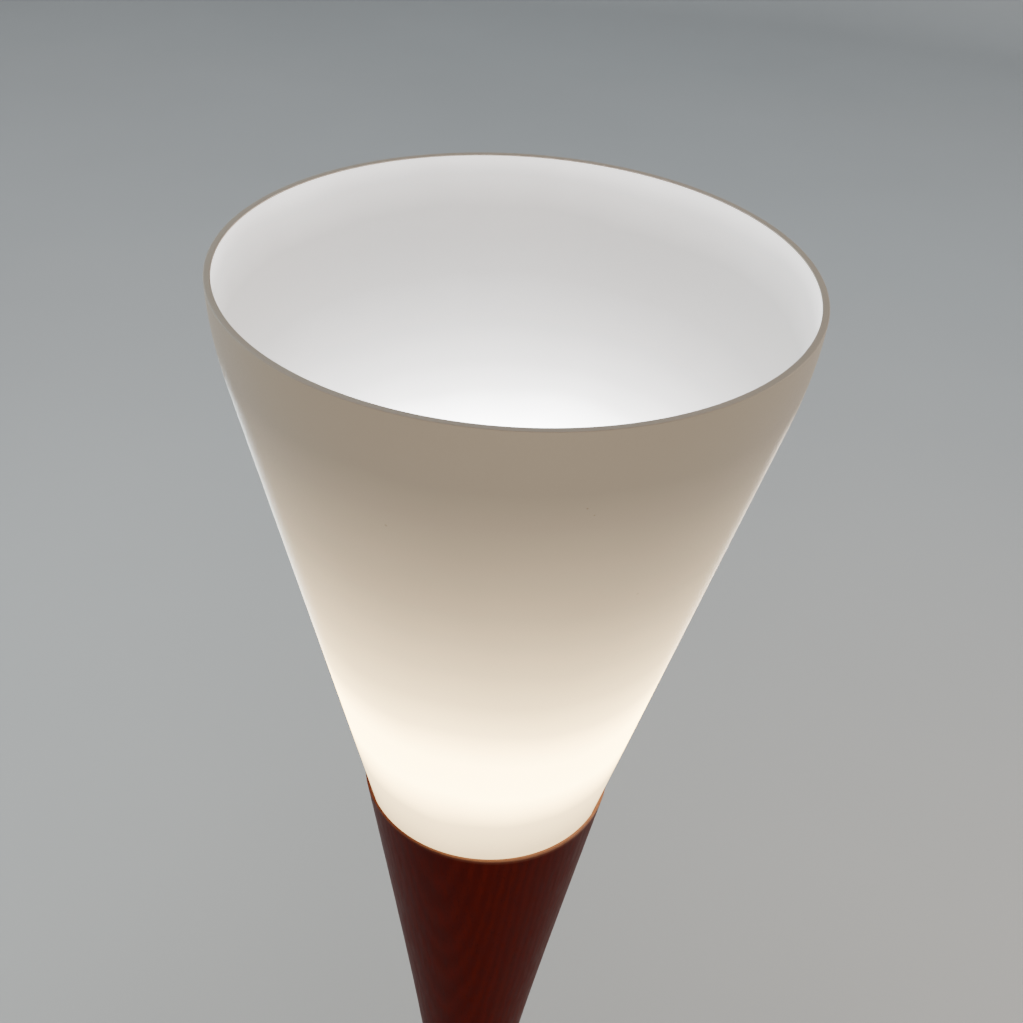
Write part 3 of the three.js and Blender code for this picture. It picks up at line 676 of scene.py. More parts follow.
@dataclass(frozen=True)
class LacqueredWood(Finish):
    """Turned hardwood, stained a deep red-brown under semi-gloss lacquer."""

    run: GrainRun = GrainRun.UPRIGHT

    dark: Colour = (0.044, 0.0019, 0.0005)
    middle: Colour = (0.056, 0.0027, 0.0007)
    light: Colour = (0.071, 0.0043, 0.0013)
    # Colour of the lip's edge: wood showing through wear, lightened further as a painted highlight of the
    # glass's glow.
    edge: Colour = (0.3, 0.15, 0.095)
    wear_and_glow_height: float | None = None
    wear_and_glow_lean: float = 0.032
    ring_share: float = 0.22

    def draw(self, sketch: Sketch) -> None:
        """Adds growth rings, fibres, pores, a lighter lip edge that is part wear and part painted glow from
        the glass, reaching lower towards +X, and the lacquer.

        Args:
            sketch: The material in the making.
        """
        log = sketch.place(scale=self.run.value, shift=(0.035, 0.09, 0.03))
        wander = sketch.noise(log, 9.0, detail=2.0)
        rings = sketch.node(
            "TexWave",
            {"Vector": log, "Scale": 60.0, "Distortion": 4.0, "Detail": 3.0, "Detail Scale": 1.4},
            wave_type="RINGS",
            rings_direction="Z" if self.run is GrainRun.UPRIGHT else "X",
        ).outputs["Fac"]
        fibres = sketch.noise(self.drawn_out(sketch, 420.0, 0.35), 1.0, detail=4.0, warp=0.4)
        ringed = sketch.combine("MULTIPLY", rings, self.ring_share)
        figure = sketch.combine("ADD", ringed, sketch.combine("MULTIPLY", fibres, 1 - self.ring_share))
        stain = sketch.ramp(figure, [(0.25, self.dark), (0.5, self.middle), (0.75, self.light)])
        patches = sketch.ramp(wander, [(0.35, (0.86, 0.82, 0.82)), (0.7, (1.1, 1.1, 1.1))])
        tone = sketch.blend(0.8, stain, patches, "MULTIPLY")
        pores = sketch.noise(self.drawn_out(sketch, 1500.0, 0.7), 1.0, detail=2.0)
        open_pores = sketch.ramp(pores, [(0.3, (0.0, 0.0, 0.0)), (0.42, (1.0, 1.0, 1.0))])
        tone = sketch.blend(0.3, tone, open_pores, "MULTIPLY")
        # The lip's edge: part wear, part a painted highlight of the glass's glow, reaching lower towards +X.
        if self.wear_and_glow_height is not None:
            wear_and_glow = (self.wear_and_glow_height - 3.6 * MM, self.wear_and_glow_height - 0.9 * MM)
            bare_and_glow = (self.wear_and_glow_height - 1.3 * MM, self.wear_and_glow_height - 0.1 * MM)
            leaning = {0: sketch.place(), 1: (self.wear_and_glow_lean, 0.0, 1.0)}
            level = sketch.node("VectorMath", leaning, operation="DOT_PRODUCT").outputs["Value"]
            tone = sketch.blend(sketch.spread(level, wear_and_glow, (0.0, 0.25)), tone, self.edge)
            tone = sketch.blend(sketch.spread(level, bare_and_glow, (0.0, 0.9)), tone, self.edge)
        sketch.feed("Base Color", tone)
        sketch.feed("Roughness", sketch.spread(fibres, (0.3, 0.7), (0.34, 0.44)))
        sketch.relief(open_pores, 0.03 * MM, 0.3)
        sketch.set(IOR=1.45, Specular_IOR_Level=0.03)

    def drawn_out(self, sketch: Sketch, scale: float, stretch: float) -> Socket:
        """The point's coordinates at a scale, stretched along the grain by a share of the finish's run."""
        run = [share if share == 1.0 else share * stretch for share in self.run.value]
        return sketch.place(scale=tuple(scale * share for share in run))


class Grain(Enum):
    """How a metal surface was finished."""

    TURNED = (40.0, 40.0, 2600.0)
    DRAWN = (1400.0, 1400.0, 18.0)
    CAST = (260.0, 260.0, 260.0)


@dataclass(frozen=True)
class Metal(Finish):
    """Bare or plated metal with tool marks and slight tarnish."""

    tone: Colour = (0.6, 0.61, 0.62)
    stain: Colour = (0.42, 0.42, 0.43)
    gloss: tuple[float, float] = (0.22, 0.36)
    grain: Grain = Grain.TURNED
    marks: float = 0.02

    def draw(self, sketch: Sketch) -> None:
        """Adds tool marks, tarnish and uneven gloss.

        Args:
            sketch: The material in the making.
        """
        marks = sketch.noise(sketch.place(scale=self.grain.value), 1.0, detail=3.0)
        clouds = sketch.noise(sketch.place(), 60.0, detail=4.0)
        tarnish = sketch.combine("MULTIPLY", sketch.spread(clouds, (0.45, 0.75), (0.0, 0.7)), marks)
        sketch.feed("Base Color", sketch.blend(tarnish, self.tone, self.stain))
        sketch.feed("Roughness", sketch.spread(marks, (0.3, 0.7), self.gloss))
        sketch.relief(marks, self.marks * MM, 0.5)
        sketch.set(Metallic=1.0)


@dataclass(frozen=True)
class Moulded(Finish):
    """Moulded plastic, rubber, porcelain or paint, with a fine surface texture."""

    tone: Colour = (0.03, 0.03, 0.032)
    gloss: tuple[float, float] = (0.4, 0.52)
    texture_scale: float = 1800.0
    texture_depth: float = 0.02
    glaze: float = 0.0

    def draw(self, sketch: Sketch) -> None:
        """Adds the mould's texture, faint clouds of colour and any glaze.

        Args:
            sketch: The material in the making.
        """
        texture = sketch.noise(sketch.place(), self.texture_scale, detail=2.0)
        clouds = sketch.noise(sketch.place(), 45.0, detail=3.0)
        shade = tuple(c * 0.82 for c in self.tone)
        sketch.feed("Base Color", sketch.ramp(clouds, [(0.3, shade), (0.7, self.tone)]))
        sketch.feed("Roughness", sketch.spread(texture, (0.3, 0.7), self.gloss))
        sketch.relief(texture, self.texture_depth * MM, 0.6)
        sketch.set(IOR=1.5, Coat_Weight=self.glaze, Coat_Roughness=0.05)


@dataclass(frozen=True)
class Felt(Finish):
    """Pressed felt with a short nap."""

    dark: Colour = (0.012, 0.011, 0.01)
    light: Colour = (0.05, 0.047, 0.045)

    def draw(self, sketch: Sketch) -> None:
        """Adds matted fibres and a soft sheen.

        Args:
            sketch: The material in the making.
        """
        fibres = sketch.noise(sketch.place(), 2400.0, detail=5.0, warp=2.5)
        mats = sketch.noise(sketch.place(), 240.0, detail=3.0)
        both = sketch.combine("MULTIPLY", fibres, sketch.combine("ADD", mats, 0.5))
        sketch.feed("Base Color", sketch.ramp(both, [(0.3, self.dark), (0.65, self.light)]))
        sketch.relief(both, 0.3 * MM, 0.9)
        sketch.set(Roughness=0.95, Sheen_Weight=0.5, Sheen_Roughness=0.6)


@dataclass(frozen=True)
class Diffuser(Finish):
    """The bulb's milky dome, lit from inside."""

    tone: Colour = (0.9, 0.88, 0.84)
    glow: Colour = (1.0, 0.975, 0.93)
    brightest: float = 14.0
    foot_height: float = 1.22
    crown_height: float = 1.27

    def draw(self, sketch: Sketch) -> None:
        """Adds a glow that fades towards the collar.

        Args:
            sketch: The material in the making.
        """
        share = sketch.spread(sketch.height(), (self.foot_height, self.crown_height), (0.0, 1.0))
        dim = tuple(c * 0.45 for c in self.glow)
        sketch.feed("Emission Color", sketch.ramp(share, [(0.0, dim), (0.35, self.glow), (1.0, self.glow)]))
        fine = sketch.noise(sketch.place(), 700.0)
        shade = tuple(c * 0.96 for c in self.tone)
        sketch.feed("Base Color", sketch.ramp(fine, [(0.3, shade), (0.7, self.tone)]))
        sketch.feed("Roughness", sketch.spread(fine, (0.3, 0.7), (0.42, 0.5)))
        sketch.set(Emission_Strength=self.brightest, IOR=1.5)


@dataclass(frozen=True)
class Backdrop(Finish):
    """The plain pale paper of the studio's floor and backdrop."""

    tone: Colour = (0.42, 0.425, 0.43)

    def draw(self, sketch: Sketch) -> None:
        """Adds a barely uneven matte surface.

        Args:
            sketch: The material in the making.
        """
        clouds = sketch.noise(sketch.place(), 1.2, detail=3.0)
        shade = tuple(c * 0.96 for c in self.tone)
        sketch.feed("Base Color", sketch.ramp(clouds, [(0.3, shade), (0.7, self.tone)]))
        sketch.set(Roughness=0.85)


ZINC = Metal("zinc plate", "zinc_steel")
ALUMINIUM = Metal("spun aluminium", "spun_aluminium", (0.8, 0.81, 0.82), (0.6, 0.6, 0.6), (0.24, 0.38))
BRASS = Metal("dulled brass", "brass", (0.78, 0.56, 0.26), (0.4, 0.24, 0.1), (0.2, 0.36))
CHROME = Metal("polished chrome", "chrome", (0.86, 0.87, 0.88), (0.7, 0.7, 0.7), (0.05, 0.11), marks=0.004)
IRON = Metal(
    "painted cast iron", "cast_iron", (0.05, 0.05, 0.055), (0.02, 0.02, 0.02), (0.6, 0.8), Grain.CAST, 0.3
)
SPRING_STEEL = Metal(
    "drawn steel wire", "zinc_steel", (0.5, 0.5, 0.52), (0.3, 0.3, 0.3), (0.25, 0.4), Grain.DRAWN
)
PORCELAIN = Moulded("glazed porcelain", "porcelain", (0.86, 0.85, 0.8), (0.2, 0.3), 300.0, 0.01, glaze=0.8)
SILICONE = Moulded("soft silicone", "silicone", (0.75, 0.72, 0.66), (0.55, 0.7), 1200.0, 0.03)
BLACK_PLASTIC = Moulded("black moulded plastic", "black_plastic", (0.028, 0.028, 0.03), (0.42, 0.56))
WHITE_PLASTIC = Moulded(
    "white moulded plastic", "white_plastic", (0.85, 0.84, 0.8), (0.3, 0.4), texture_depth=0.01
)
GREEN_BOARD = Moulded(
    "green circuit board", "circuit_board", (0.03, 0.2, 0.07), (0.3, 0.42), 600.0, 0.02, 0.3
)
CONTACT_GLASS = Moulded(
    "black contact glass", "black_plastic", (0.01, 0.01, 0.012), (0.08, 0.14), 500.0, 0.01, 0.6
)
BLUE_LEAD = Moulded("blue insulation", "lead_blue", (0.03, 0.1, 0.4), (0.35, 0.45), 900.0)
BROWN_LEAD = Moulded("brown insulation", "lead_brown", (0.15, 0.05, 0.02), (0.35, 0.45), 900.0)
FELT = Felt("pressed felt", "felt")


# ---------------------------------------------------------------- the lamp's shared lines


@dataclass(frozen=True)
class Lines:
    """The outer lines that the glass, the column and the foot share."""

    glass: NodeBox
    upper: NodeBox
    lower: NodeBox
    foot: NodeBox
    glass_at_mouth: float = 65.3 * MM
    rim_curve: float = 40 * MM
    rim_slope: float = 0.02
    stem_radius: float = 17 * MM
    flare_length: float = 315 * MM
    flare_bend: float = 100 * MM
    foot_top: float = 18 * MM
    foot_taper: float = 32 * MM

    @classmethod
    def read(cls) -> "Lines":
        """Reads the lines' ends from the frame."""
        nodes = ("glass_shade", "column_upper", "column_lower", "wood_foot")
        return cls(*(NodeBox.of(node) for node in nodes))

    @property
    def mouth(self) -> float:
        """Height of the column's mouth."""
        return self.upper.high.z

    @property
    def joint(self) -> float:
        """Height at which the column's two lengths meet."""
        return self.lower.high.z

    @property
    def foot_joint(self) -> float:
        """Height at which the column meets the foot."""
        return self.foot.high.z

    @property
    def taper(self) -> float:
        """How much the straight part of the glass widens with height.

        Returns:
            The gain in radius for each metre of height.
        """
        showing = self.glass.high.z - self.mouth
        widening = self.glass.radius - self.glass_at_mouth - self.rim_slope * self.rim_curve / 2
        return widening / (showing - self.rim_curve / 2)

    def glass_radius(self, z: float) -> float:
        """The glass's outer radius at a height.

        Args:
            z: The height.

        Returns:
            The radius.
        """
        drop = max(0.0, self.glass.high.z - z)
        bend = min(drop, self.rim_curve)
        curl = self.rim_slope * bend + (self.taper - self.rim_slope) * bend**2 / (2 * self.rim_curve)
        return self.glass.radius - curl - self.taper * (drop - bend)

    def soft_slope(self, rise: float) -> float:
        """A slope that eases in from level."""
        return (math.hypot(rise, self.flare_bend) + rise) / 2

    def column_radius(self, z: float) -> float:
        """The wood's radius at a height: a stem that flares to the mouth and to the foot.

        Args:
            z: The height.

        Returns:
            The radius.
        """
        rise = self.flare_length - (self.mouth - z)
        share = self.soft_slope(rise) / self.soft_slope(self.flare_length)
        spread = (self.foot.radius - self.stem_radius) * math.exp((self.foot_top - z) / self.foot_taper)
        return self.stem_radius + (self.upper.radius - self.stem_radius) * share + spread


class SubAssembly(ABC):
    """A group of pieces that are made together."""

    @abstractmethod
    def build(self) -> list[Piece]:
        """Makes and dresses the group's pieces, and puts each on its body."""


# ---------------------------------------------------------------- glass


@dataclass
class GlassShade(SubAssembly):
    """The opal glass cone, open above and below, with a ground rim."""

    lines: Lines
    wall: float = 3 * MM
    rim_ease: float = 0.7 * MM
    foot_ease: float = 1.0 * MM
    segments: int = 192
    curve_steps: int = 14
    straight_steps: int = 26

    def outline(self) -> tuple[Outline, list[int]]:
        """The glass's outline, and the side that each span belongs to.

        Returns:
            The outline, and a material index for each span.
        """
        box = self.lines.glass
        bend = box.high.z - self.lines.rim_curve
        top = box.high.z
        outside = traced(self.lines.glass_radius, box.low.z + self.foot_ease, bend, self.straight_steps)
        outside += traced(self.lines.glass_radius, bend, top - self.rim_ease, self.curve_steps)[1:]
        rim_out, rim_in = self.lines.glass_radius(top), self.lines.glass_radius(top) - self.wall
        rim = eased(
            [
                Corner(rim_out, top - self.rim_ease),
                Corner(rim_out, top, self.rim_ease * 0.9),
                Corner(rim_in, top, self.rim_ease * 0.9),
                Corner(rim_in, top - self.rim_ease),
            ],
            closed=False,
            steps=4,
        )
        inside = [(r - self.wall, z) for r, z in reversed(outside)]
        foot_out, foot_in = outside[0][0], inside[-1][0]
        low = box.low.z
        ease, part = self.foot_ease, self.foot_ease * 0.3
        foot = [(foot_in + part, low + part), (foot_in + ease, low)]
        foot += [(foot_out - ease, low), (foot_out - part, low + part)]
        outer, ground, inner = range(3)
        paint = [outer] * len(outside) + [ground] * (len(rim) - 2) + [inner] * (len(inside) + len(foot))
        return outside + rim[1:-1] + inside + foot, paint

    def build(self) -> list[Piece]:
        """Makes the glass.

        Returns:
            The glass.
        """
        outline, paint = self.outline()
        cone = turned("opal_cone", outline, self.segments, paint)
        top, low = self.lines.glass.high.z, self.lines.glass.low.z
        place = {"rim_height": top, "glass_height": top - low, "radius_at": self.lines.glass_radius}
        dressed(
            cone,
            OpalGlass("opal glass, outside", "opal_glass", side=GlassSide.OUTSIDE, **place),
            OpalGlass("opal glass, ground rim", "opal_glass", side=GlassSide.RIM, **place),
            OpalGlass("opal glass, inside", "opal_glass", side=GlassSide.INSIDE, **place),
        )
        return [fitted(cone, "shade", "glass_shade")]


# ---------------------------------------------------------------- column and foot


@dataclass
class WoodColumn(SubAssembly):
    """The turned column: a trumpet on a plain stem, joined halfway by a tenon."""

    lines: Lines
    lip: float = 1.4 * MM
    lip_ease: float = 0.35 * MM
    seam_ease: float = 0.45 * MM
    tenon_wall: float = 4.5 * MM
    tenon_ease: float = 0.6 * MM
    ledge_width: float = 8 * MM
    segments: int = 144

    def tenon_radius(self) -> float:
        """The upper length's tenon, from the socket wall that it leaves."""
        return self.lines.column_radius(self.lines.joint) - self.tenon_wall

    def upper_outline(self) -> Outline:
        """The upper length's outline.

        Returns:
            The outline, which closes on itself.
        """
        cup, coupler = NodeBox.of("spun_cup"), NodeBox.of("tube_coupler")
        lines, mouth, joint, end = self.lines, self.lines.mouth, self.lines.joint, self.lines.upper.low.z
        ledge = cup.high.z - CUP_SHEET
        rebate = lines.column_radius(mouth) - self.lip
        cavity = rebate - (mouth - ledge) * lines.taper - self.ledge_width
        hole = NodeBox.of("tube_upper").radius + TUBE_PLAY
        coupler_hole = coupler.radius + TUBE_PLAY
        joint_top = coupler.high.z + TUBE_PLAY
        tenon = self.tenon_radius()
        flare = traced(lines.column_radius, joint + 1 * MM, mouth - 0.6 * MM, 72)
        lip = eased(
            [
                Corner(*flare[-1]),
                Corner(lines.column_radius(mouth), mouth, self.lip_ease),
                Corner(rebate, mouth, self.lip_ease),
                Corner(cup.radius + 0.4 * MM, ledge, 0.3 * MM),
            ],
            closed=False,
        )
        stem = lines.column_radius(joint)
        return [
            (coupler_hole, end),
            (tenon - self.tenon_ease, end),
            (tenon, end + self.tenon_ease),
            (tenon, joint),
            (stem - self.seam_ease, joint),
            (stem - self.seam_ease * 0.25, joint + self.seam_ease * 0.4),
            *flare,
            *lip[1:],
            (cavity, ledge),
            (cavity - CUP_DRAFT, cup.low.z),
            (hole, cup.low.z),
            (hole, joint_top),
            (coupler_hole, joint_top),
        ]

    def lower_outline(self) -> Outline:
        """The lower length's outline.

        Returns:
            The outline, which closes on itself.
        """
        lines, joint, foot_joint = self.lines, self.lines.joint, self.lines.foot_joint
        end = lines.lower.low.z
        hole = NodeBox.of("tube_lower").radius + TUBE_PLAY
        socket = lines.upper.low.z - PLAY
        socket_radius = self.tenon_radius() + PLAY
        flare = traced(lines.column_radius, foot_joint + 1 * MM, joint - 1 * MM, 64)
        low, high = lines.column_radius(foot_joint), lines.column_radius(joint)
        return [
            (hole, end),
            (FOOT_TENON - self.tenon_ease, end),
            (FOOT_TENON, end + self.tenon_ease),
            (FOOT_TENON, foot_joint),
            (low - self.seam_ease, foot_joint),
            (low - self.seam_ease * 0.25, foot_joint + self.seam_ease * 0.4),
            *flare,
            (high - self.seam_ease * 0.25, joint - self.seam_ease * 0.4),
            (high - self.seam_ease, joint),
            (socket_radius, joint),
            (socket_radius, socket),
            (hole, socket),
        ]

    def build(self) -> list[Piece]:
        """Makes both lengths.

        Returns:
            The upper and the lower length.
        """
        wood = LacqueredWood("lacquered mahogany", "mahogany")
        # The upper length's finish, with wear and painted glow on the lip's edge.
        lipped = LacqueredWood("lacquered mahogany, lip", "mahogany", wear_and_glow_height=self.lines.mouth)
        upper = turned("trumpet_column", self.upper_outline(), self.segments)
        lower = turned("stem_column", self.lower_outline(), self.segments)
        dressed(upper, lipped)
        dressed(lower, wood)
        return [fitted(upper, "lamp", "column_upper"), fitted(lower, "lamp", "column_lower")]


@dataclass
class WoodFoot(SubAssembly):
    """The turned foot, hollowed from below, with a recess for the switch and a hole for the inlet."""

    lines: Lines
    base_round: float = 2 * MM
    edge_top: float = 18.1 * MM
    edge_ease: float = 5 * MM
    cavity_radius: float = 118 * MM
    cavity_ceiling: float = 17 * MM
    boss_radius: float = 80 * MM
    boss_ceiling: float = 29 * MM
    recess_radius: float = 11 * MM
    inlet_neck: float = 5.3 * MM
    inlet_flange: float = 2.3 * MM
    overrun: float = 6 * MM
    segments: int = 192

    def outline(self) -> Outline:
        """The foot's outline before the holes.

        Returns:
            The outline, which closes on itself.
        """
        box, cover, tube = self.lines.foot, NodeBox.of("bottom_cover"), NodeBox.of("tube_lower")
        hole = tube.radius + TUBE_PLAY
        low, joint = box.low.z, self.lines.foot_joint
        socket = self.lines.lower.low.z - PLAY
        reach = min(box.high.x, box.high.y)
        flare_from = self.edge_top + 1.3 * MM
        edge = eased(
            [
                Corner(cover.radius + PLAY, low),
                Corner(reach, low, self.base_round),
                Corner(reach, self.edge_top, self.edge_ease),
                Corner(self.lines.column_radius(flare_from), flare_from),
            ],
            closed=False,
            steps=7,
        )
        top = self.lines.column_radius(joint)
        return [
            (hole, self.boss_ceiling),
            (self.boss_radius, self.boss_ceiling),
            (self.boss_radius, self.cavity_ceiling),
            (self.cavity_radius, self.cavity_ceiling),
            (self.cavity_radius, cover.high.z),
            (cover.radius + PLAY, cover.high.z),
            *edge,
            *traced(self.lines.column_radius, flare_from + 0.4 * MM, joint - 0.5 * MM, 56),
            (top - 0.1 * MM, joint - 0.15 * MM),
            (top - 0.5 * MM, joint),
            (FOOT_TENON + PLAY, joint),
            (FOOT_TENON + PLAY, socket),
            (hole, socket),
        ]

    def cutters(self) -> list[Piece]:
        """Shapes for the switch's recess, the inlet's hole and the screw holes.

        Returns:
            The cutters.
        """
        ring, bushing = NodeBox.of("switch_ring"), NodeBox.of("switch_bushing")
        inlet, block_screw = NodeBox.of("inlet_bushing"), NodeBox.of("block_screw")
        clear_of_foot = self.lines.foot_joint + self.overrun
        ease = 0.5 * MM
        bore, low = bushing.radius + PLAY, self.cavity_ceiling - self.overrun
        stepped = turned(
            "stepped",
            [
                (0, low),
                (bore, low),
                (bore, ring.low.z),
                (self.recess_radius - ease, ring.low.z),
                (self.recess_radius, ring.low.z + ease),
                (self.recess_radius, clear_of_foot),
                (0, clear_of_foot),
            ],
            72,
        )
        stepped.data.transform(Matrix.Translation((ring.middle.x, ring.middle.y, 0)) @ ASKEW)
        neck, flange = self.inlet_neck, inlet.radius + PLAY
        inner, outer = inlet.low.y - 3 * MM, inlet.high.y + self.overrun
        step = inlet.high.y - self.inlet_flange
        outline = [(0, inner), (neck, inner), (neck, step), (flange, step), (flange, outer), (0, outer)]
        lead_hole = turned("lead_hole", outline, 48)
        turn = Matrix.Rotation(-math.pi / 2, 4, "X")
        lead_hole.data.transform(Matrix.Translation((0, 0, inlet.middle.z)) @ turn @ ASKEW)
        found = [stepped, lead_hole]
        for node in ("cover_screw_1", "cover_screw_2", "cover_screw_3"):
            screw = NodeBox.of(node)
            found.append(self.bore_for(screw, screw.low.z - 1 * MM, screw.high.z + 1 * MM))
        found.append(self.bore_for(block_screw, self.cavity_ceiling - 1 * MM, block_screw.high.z + 1 * MM))
        return found

    def bore_for(self, screw: NodeBox, low: float, high: float) -> Piece:
        """A drilled hole for a screw.

        Args:
            screw: The screw's box.
            low: The hole's lowest height.
            high: Its highest.

        Returns:
            The cutter.
        """
        bore = turned("bore", [(0, low), (SCREW_BORE, low), (SCREW_BORE, high), (0, high)], 16)
        bore.data.transform(Matrix.Translation((screw.middle.x, screw.middle.y, 0)) @ ASKEW)
        return bore

    def build(self) -> list[Piece]:
        """Makes the foot.

        Returns:
            The foot.
        """
        foot = turned("turned_foot", self.outline(), self.segments)
        cut_away(foot, *self.cutters())
        dressed(foot, LacqueredWood("lacquered mahogany, foot", "mahogany", run=GrainRun.CROSSWISE))
        return [fitted(foot, "lamp", "wood_foot")]


# ---------------------------------------------------------------- cup, clamp and tubes


@dataclass
class SeatAndCup(SubAssembly):
    """The spun cup in the column's mouth, and the soft ring that the glass stands on."""

    ring_width: float = 6 * MM
    ledge_width: float = 7.75 * MM
    groove_inset: float = 12 * MM
    groove_width: float = 3.8 * MM
    groove_side: float = 0.8 * MM
    groove_depth: float = 0.5 * MM
    segments: int = 128

    def build(self) -> list[Piece]:
        """Makes the cup and the ring.

        Returns:
            The cup and the ring.
        """
        box, seat, tube = NodeBox.of("spun_cup"), NodeBox.of("seat_ring"), NodeBox.of("tube_upper")
        flange, low, high = box.radius, box.low.z, box.high.z
        hole = tube.radius + TUBE_PLAY
        top_wall = flange - self.ledge_width
        foot_wall = top_wall - CUP_DRAFT
        under, floor = high - CUP_SHEET, low + CUP_SHEET
        groove_out = foot_wall - self.groove_inset
        groove_in = groove_out - self.groove_width
        cup = eased(
            [
                Corner(hole, low),
                Corner(foot_wall, low, 3 * MM),
                Corner(top_wall, under, 1.4 * MM),
                Corner(flange, under, 0.5 * MM),
                Corner(flange, high, 0.5 * MM),
                Corner(top_wall - CUP_SHEET, high, 2.2 * MM),
                Corner(foot_wall - CUP_SHEET, floor, 2.4 * MM),
                Corner(groove_out, floor, 0.5 * MM),
                Corner(groove_out - self.groove_side, floor - self.groove_depth, 0.4 * MM),
                Corner(groove_in + self.groove_side, floor - self.groove_depth, 0.4 * MM),
                Corner(groove_in, floor, 0.5 * MM),
                Corner(hole, floor, 0.2 * MM),
            ],
            steps=5,
        )
        bowl = dressed(turned("spun_bowl", cup, self.segments), ALUMINIUM)
        inner, outer = seat.radius - self.ring_width, seat.radius
        middle = (inner + outer) / 2
        dip = 0.8 * MM
        gasket = eased(
            [
                Corner(inner, seat.low.z, 0.6 * MM),
                Corner(outer, seat.low.z, 0.6 * MM),
                Corner(outer, seat.high.z, 0.7 * MM),
                Corner(middle + dip, seat.high.z, 0.3 * MM),
                Corner(middle, seat.high.z - 0.7 * MM, 0.4 * MM),
                Corner(middle - dip, seat.high.z, 0.3 * MM),
                Corner(inner, seat.high.z, 0.7 * MM),
            ]
        )
        ring = dressed(turned("seat_gasket", gasket, self.segments), SILICONE)
        return [fitted(bowl, "lamp", "spun_cup"), fitted(ring, "lamp", "seat_ring")]


def hex_nut(name: str, box: NodeBox, hole: float, faces_apart: float = 17 * MM) -> Piece:
    """A hexagon nut with chamfered corners and a countersunk hole.

    Args:
        name: The piece's name.
        box: Where the nut lies.
        hole: Its hole's radius.
        faces_apart: Its width across flats.

    Returns:
        The nut, on the Z axis.
    """
    apothem = faces_apart / 2
    corner = apothem / math.cos(math.pi / 6)
    face = apothem * 0.97
    chamfer = (corner - apothem) * 0.55
    low, high = box.low.z, box.high.z
    per_side = 12
    count = 6 * per_side
    shares = [0.0, 0.25, 0.5, 0.75, 1.0]
    limits = [(face + (corner - face) * t, chamfer * t) for t in shares]
    rows = [(r, low + d) for r, d in limits] + [(r, high - d) for r, d in reversed(limits)]
    lead_in = 0.7 * MM
    bore = [(hole + lead_in, high), (hole, high - lead_in), (hole, low + lead_in), (hole + lead_in, low)]
    shape = bmesh.new()
    grid = []
    for index, (limit, z) in enumerate(rows + bore):
        row = []
        for k in range(count):
            angle = 2 * math.pi * k / count
            fold = (angle % (math.pi / 3)) - math.pi / 6
            flat = apothem / math.cos(fold)
            radius = min(limit, flat) if index < len(rows) else limit
            row.append(shape.verts.new((radius * math.cos(angle), radius * math.sin(angle), z)))
        grid.append(row)
    for i, row in enumerate(grid):
        following = grid[(i + 1) % len(grid)]
        for k in range(count):
            step = (k + 1) % count
            shape.faces.new([row[k], row[step], following[step], following[k]])
    return new_piece(name, shape, sharp_above=24)


@dataclass
class Clamp(SubAssembly):
    """The threaded tubes through the column, and the nuts and washers at their ends."""

    bore: float = 3.5 * MM
    pitch: float = 1.0 * MM
    thread_depth: float = 0.45 * MM
    thread_length: float = 26 * MM
    row_step: float = 0.2 * MM
    segments: int = 32

    def tube(self, name: str, node: str) -> Piece:
        """A tube with a thread at both ends.

        Args:
            name: The piece's name.
            node: The CAD node it replaces.

        Returns:
            The tube.
        """
        box = NodeBox.of(node)
        low, high, length = box.low.z, box.high.z, self.thread_length
        outline = [(self.bore, low)]
        outline += spaced(box.radius, low, low + length, self.row_step)
        outline += spaced(box.radius, high - length, high, self.row_step)
        outline += [(self.bore, high)]
        tube = turned(name, outline, self.segments)
        for span in ((low, low + length), (high - length, high)):
            cut_thread(tube, box.radius, span, self.pitch, self.thread_depth)
        return fitted(dressed(tube, ZINC), "lamp", node)

    def washer(self, name: str, node: str) -> Piece:
        """A flat washer with rolled-over edges.

        Args:
            name: The piece's name.
            node: The CAD node it replaces.

        Returns:
            The washer.
        """
        box = NodeBox.of(node)
        hole = NodeBox.of("tube_upper").radius + PLAY
        corners = [
            Corner(hole, box.low.z, 0.2 * MM),
            Corner(box.radius, box.low.z, 0.3 * MM),
            Corner(box.radius, box.high.z, 0.7 * MM),
            Corner(hole, box.high.z, 0.4 * MM),
        ]
        return fitted(dressed(turned(name, eased(corners), 64), ZINC), "lamp", node)

    def coupler(self) -> Piece:
        """The sleeve that joins the two tubes.

        Returns:
            The sleeve.
        """
        box = NodeBox.of("tube_coupler")
        hole = NodeBox.of("tube_upper").radius + PLAY
        corners = [
            Corner(hole, box.low.z, 0.5 * MM),
            Corner(box.radius, box.low.z, 0.8 * MM),
            Corner(box.radius, box.high.z, 0.8 * MM),
            Corner(hole, box.high.z, 0.5 * MM),
        ]
        sleeve = turned("coupling_sleeve", eased(corners), 48)
        return fitted(dressed(sleeve, ZINC), "lamp", "tube_coupler")

    def build(self) -> list[Piece]:
        """Makes the tubes, nuts and washers.

        Returns:
            The pieces.
        """
        hole = NodeBox.of("tube_upper").radius + PLAY
        pieces = [
            self.tube("threaded_tube_lower", "tube_lower"),
            self.tube("threaded_tube_upper", "tube_upper"),
            self.coupler(),
            self.washer("flat_washer_top", "top_washer"),
            self.washer("flat_washer_bottom", "bottom_washer"),
        ]
        for name, node in (("hex_nut_top", "top_nut"), ("hex_nut_bottom", "bottom_nut")):
            pieces.append(fitted(dressed(hex_nut(name, NodeBox.of(node), hole), ZINC), "lamp", node))
        return pieces


# ---------------------------------------------------------------- lampholder


class Drive(Enum):
    """The recess in a screw's head."""

    SLOT = 1
    CROSS = 2


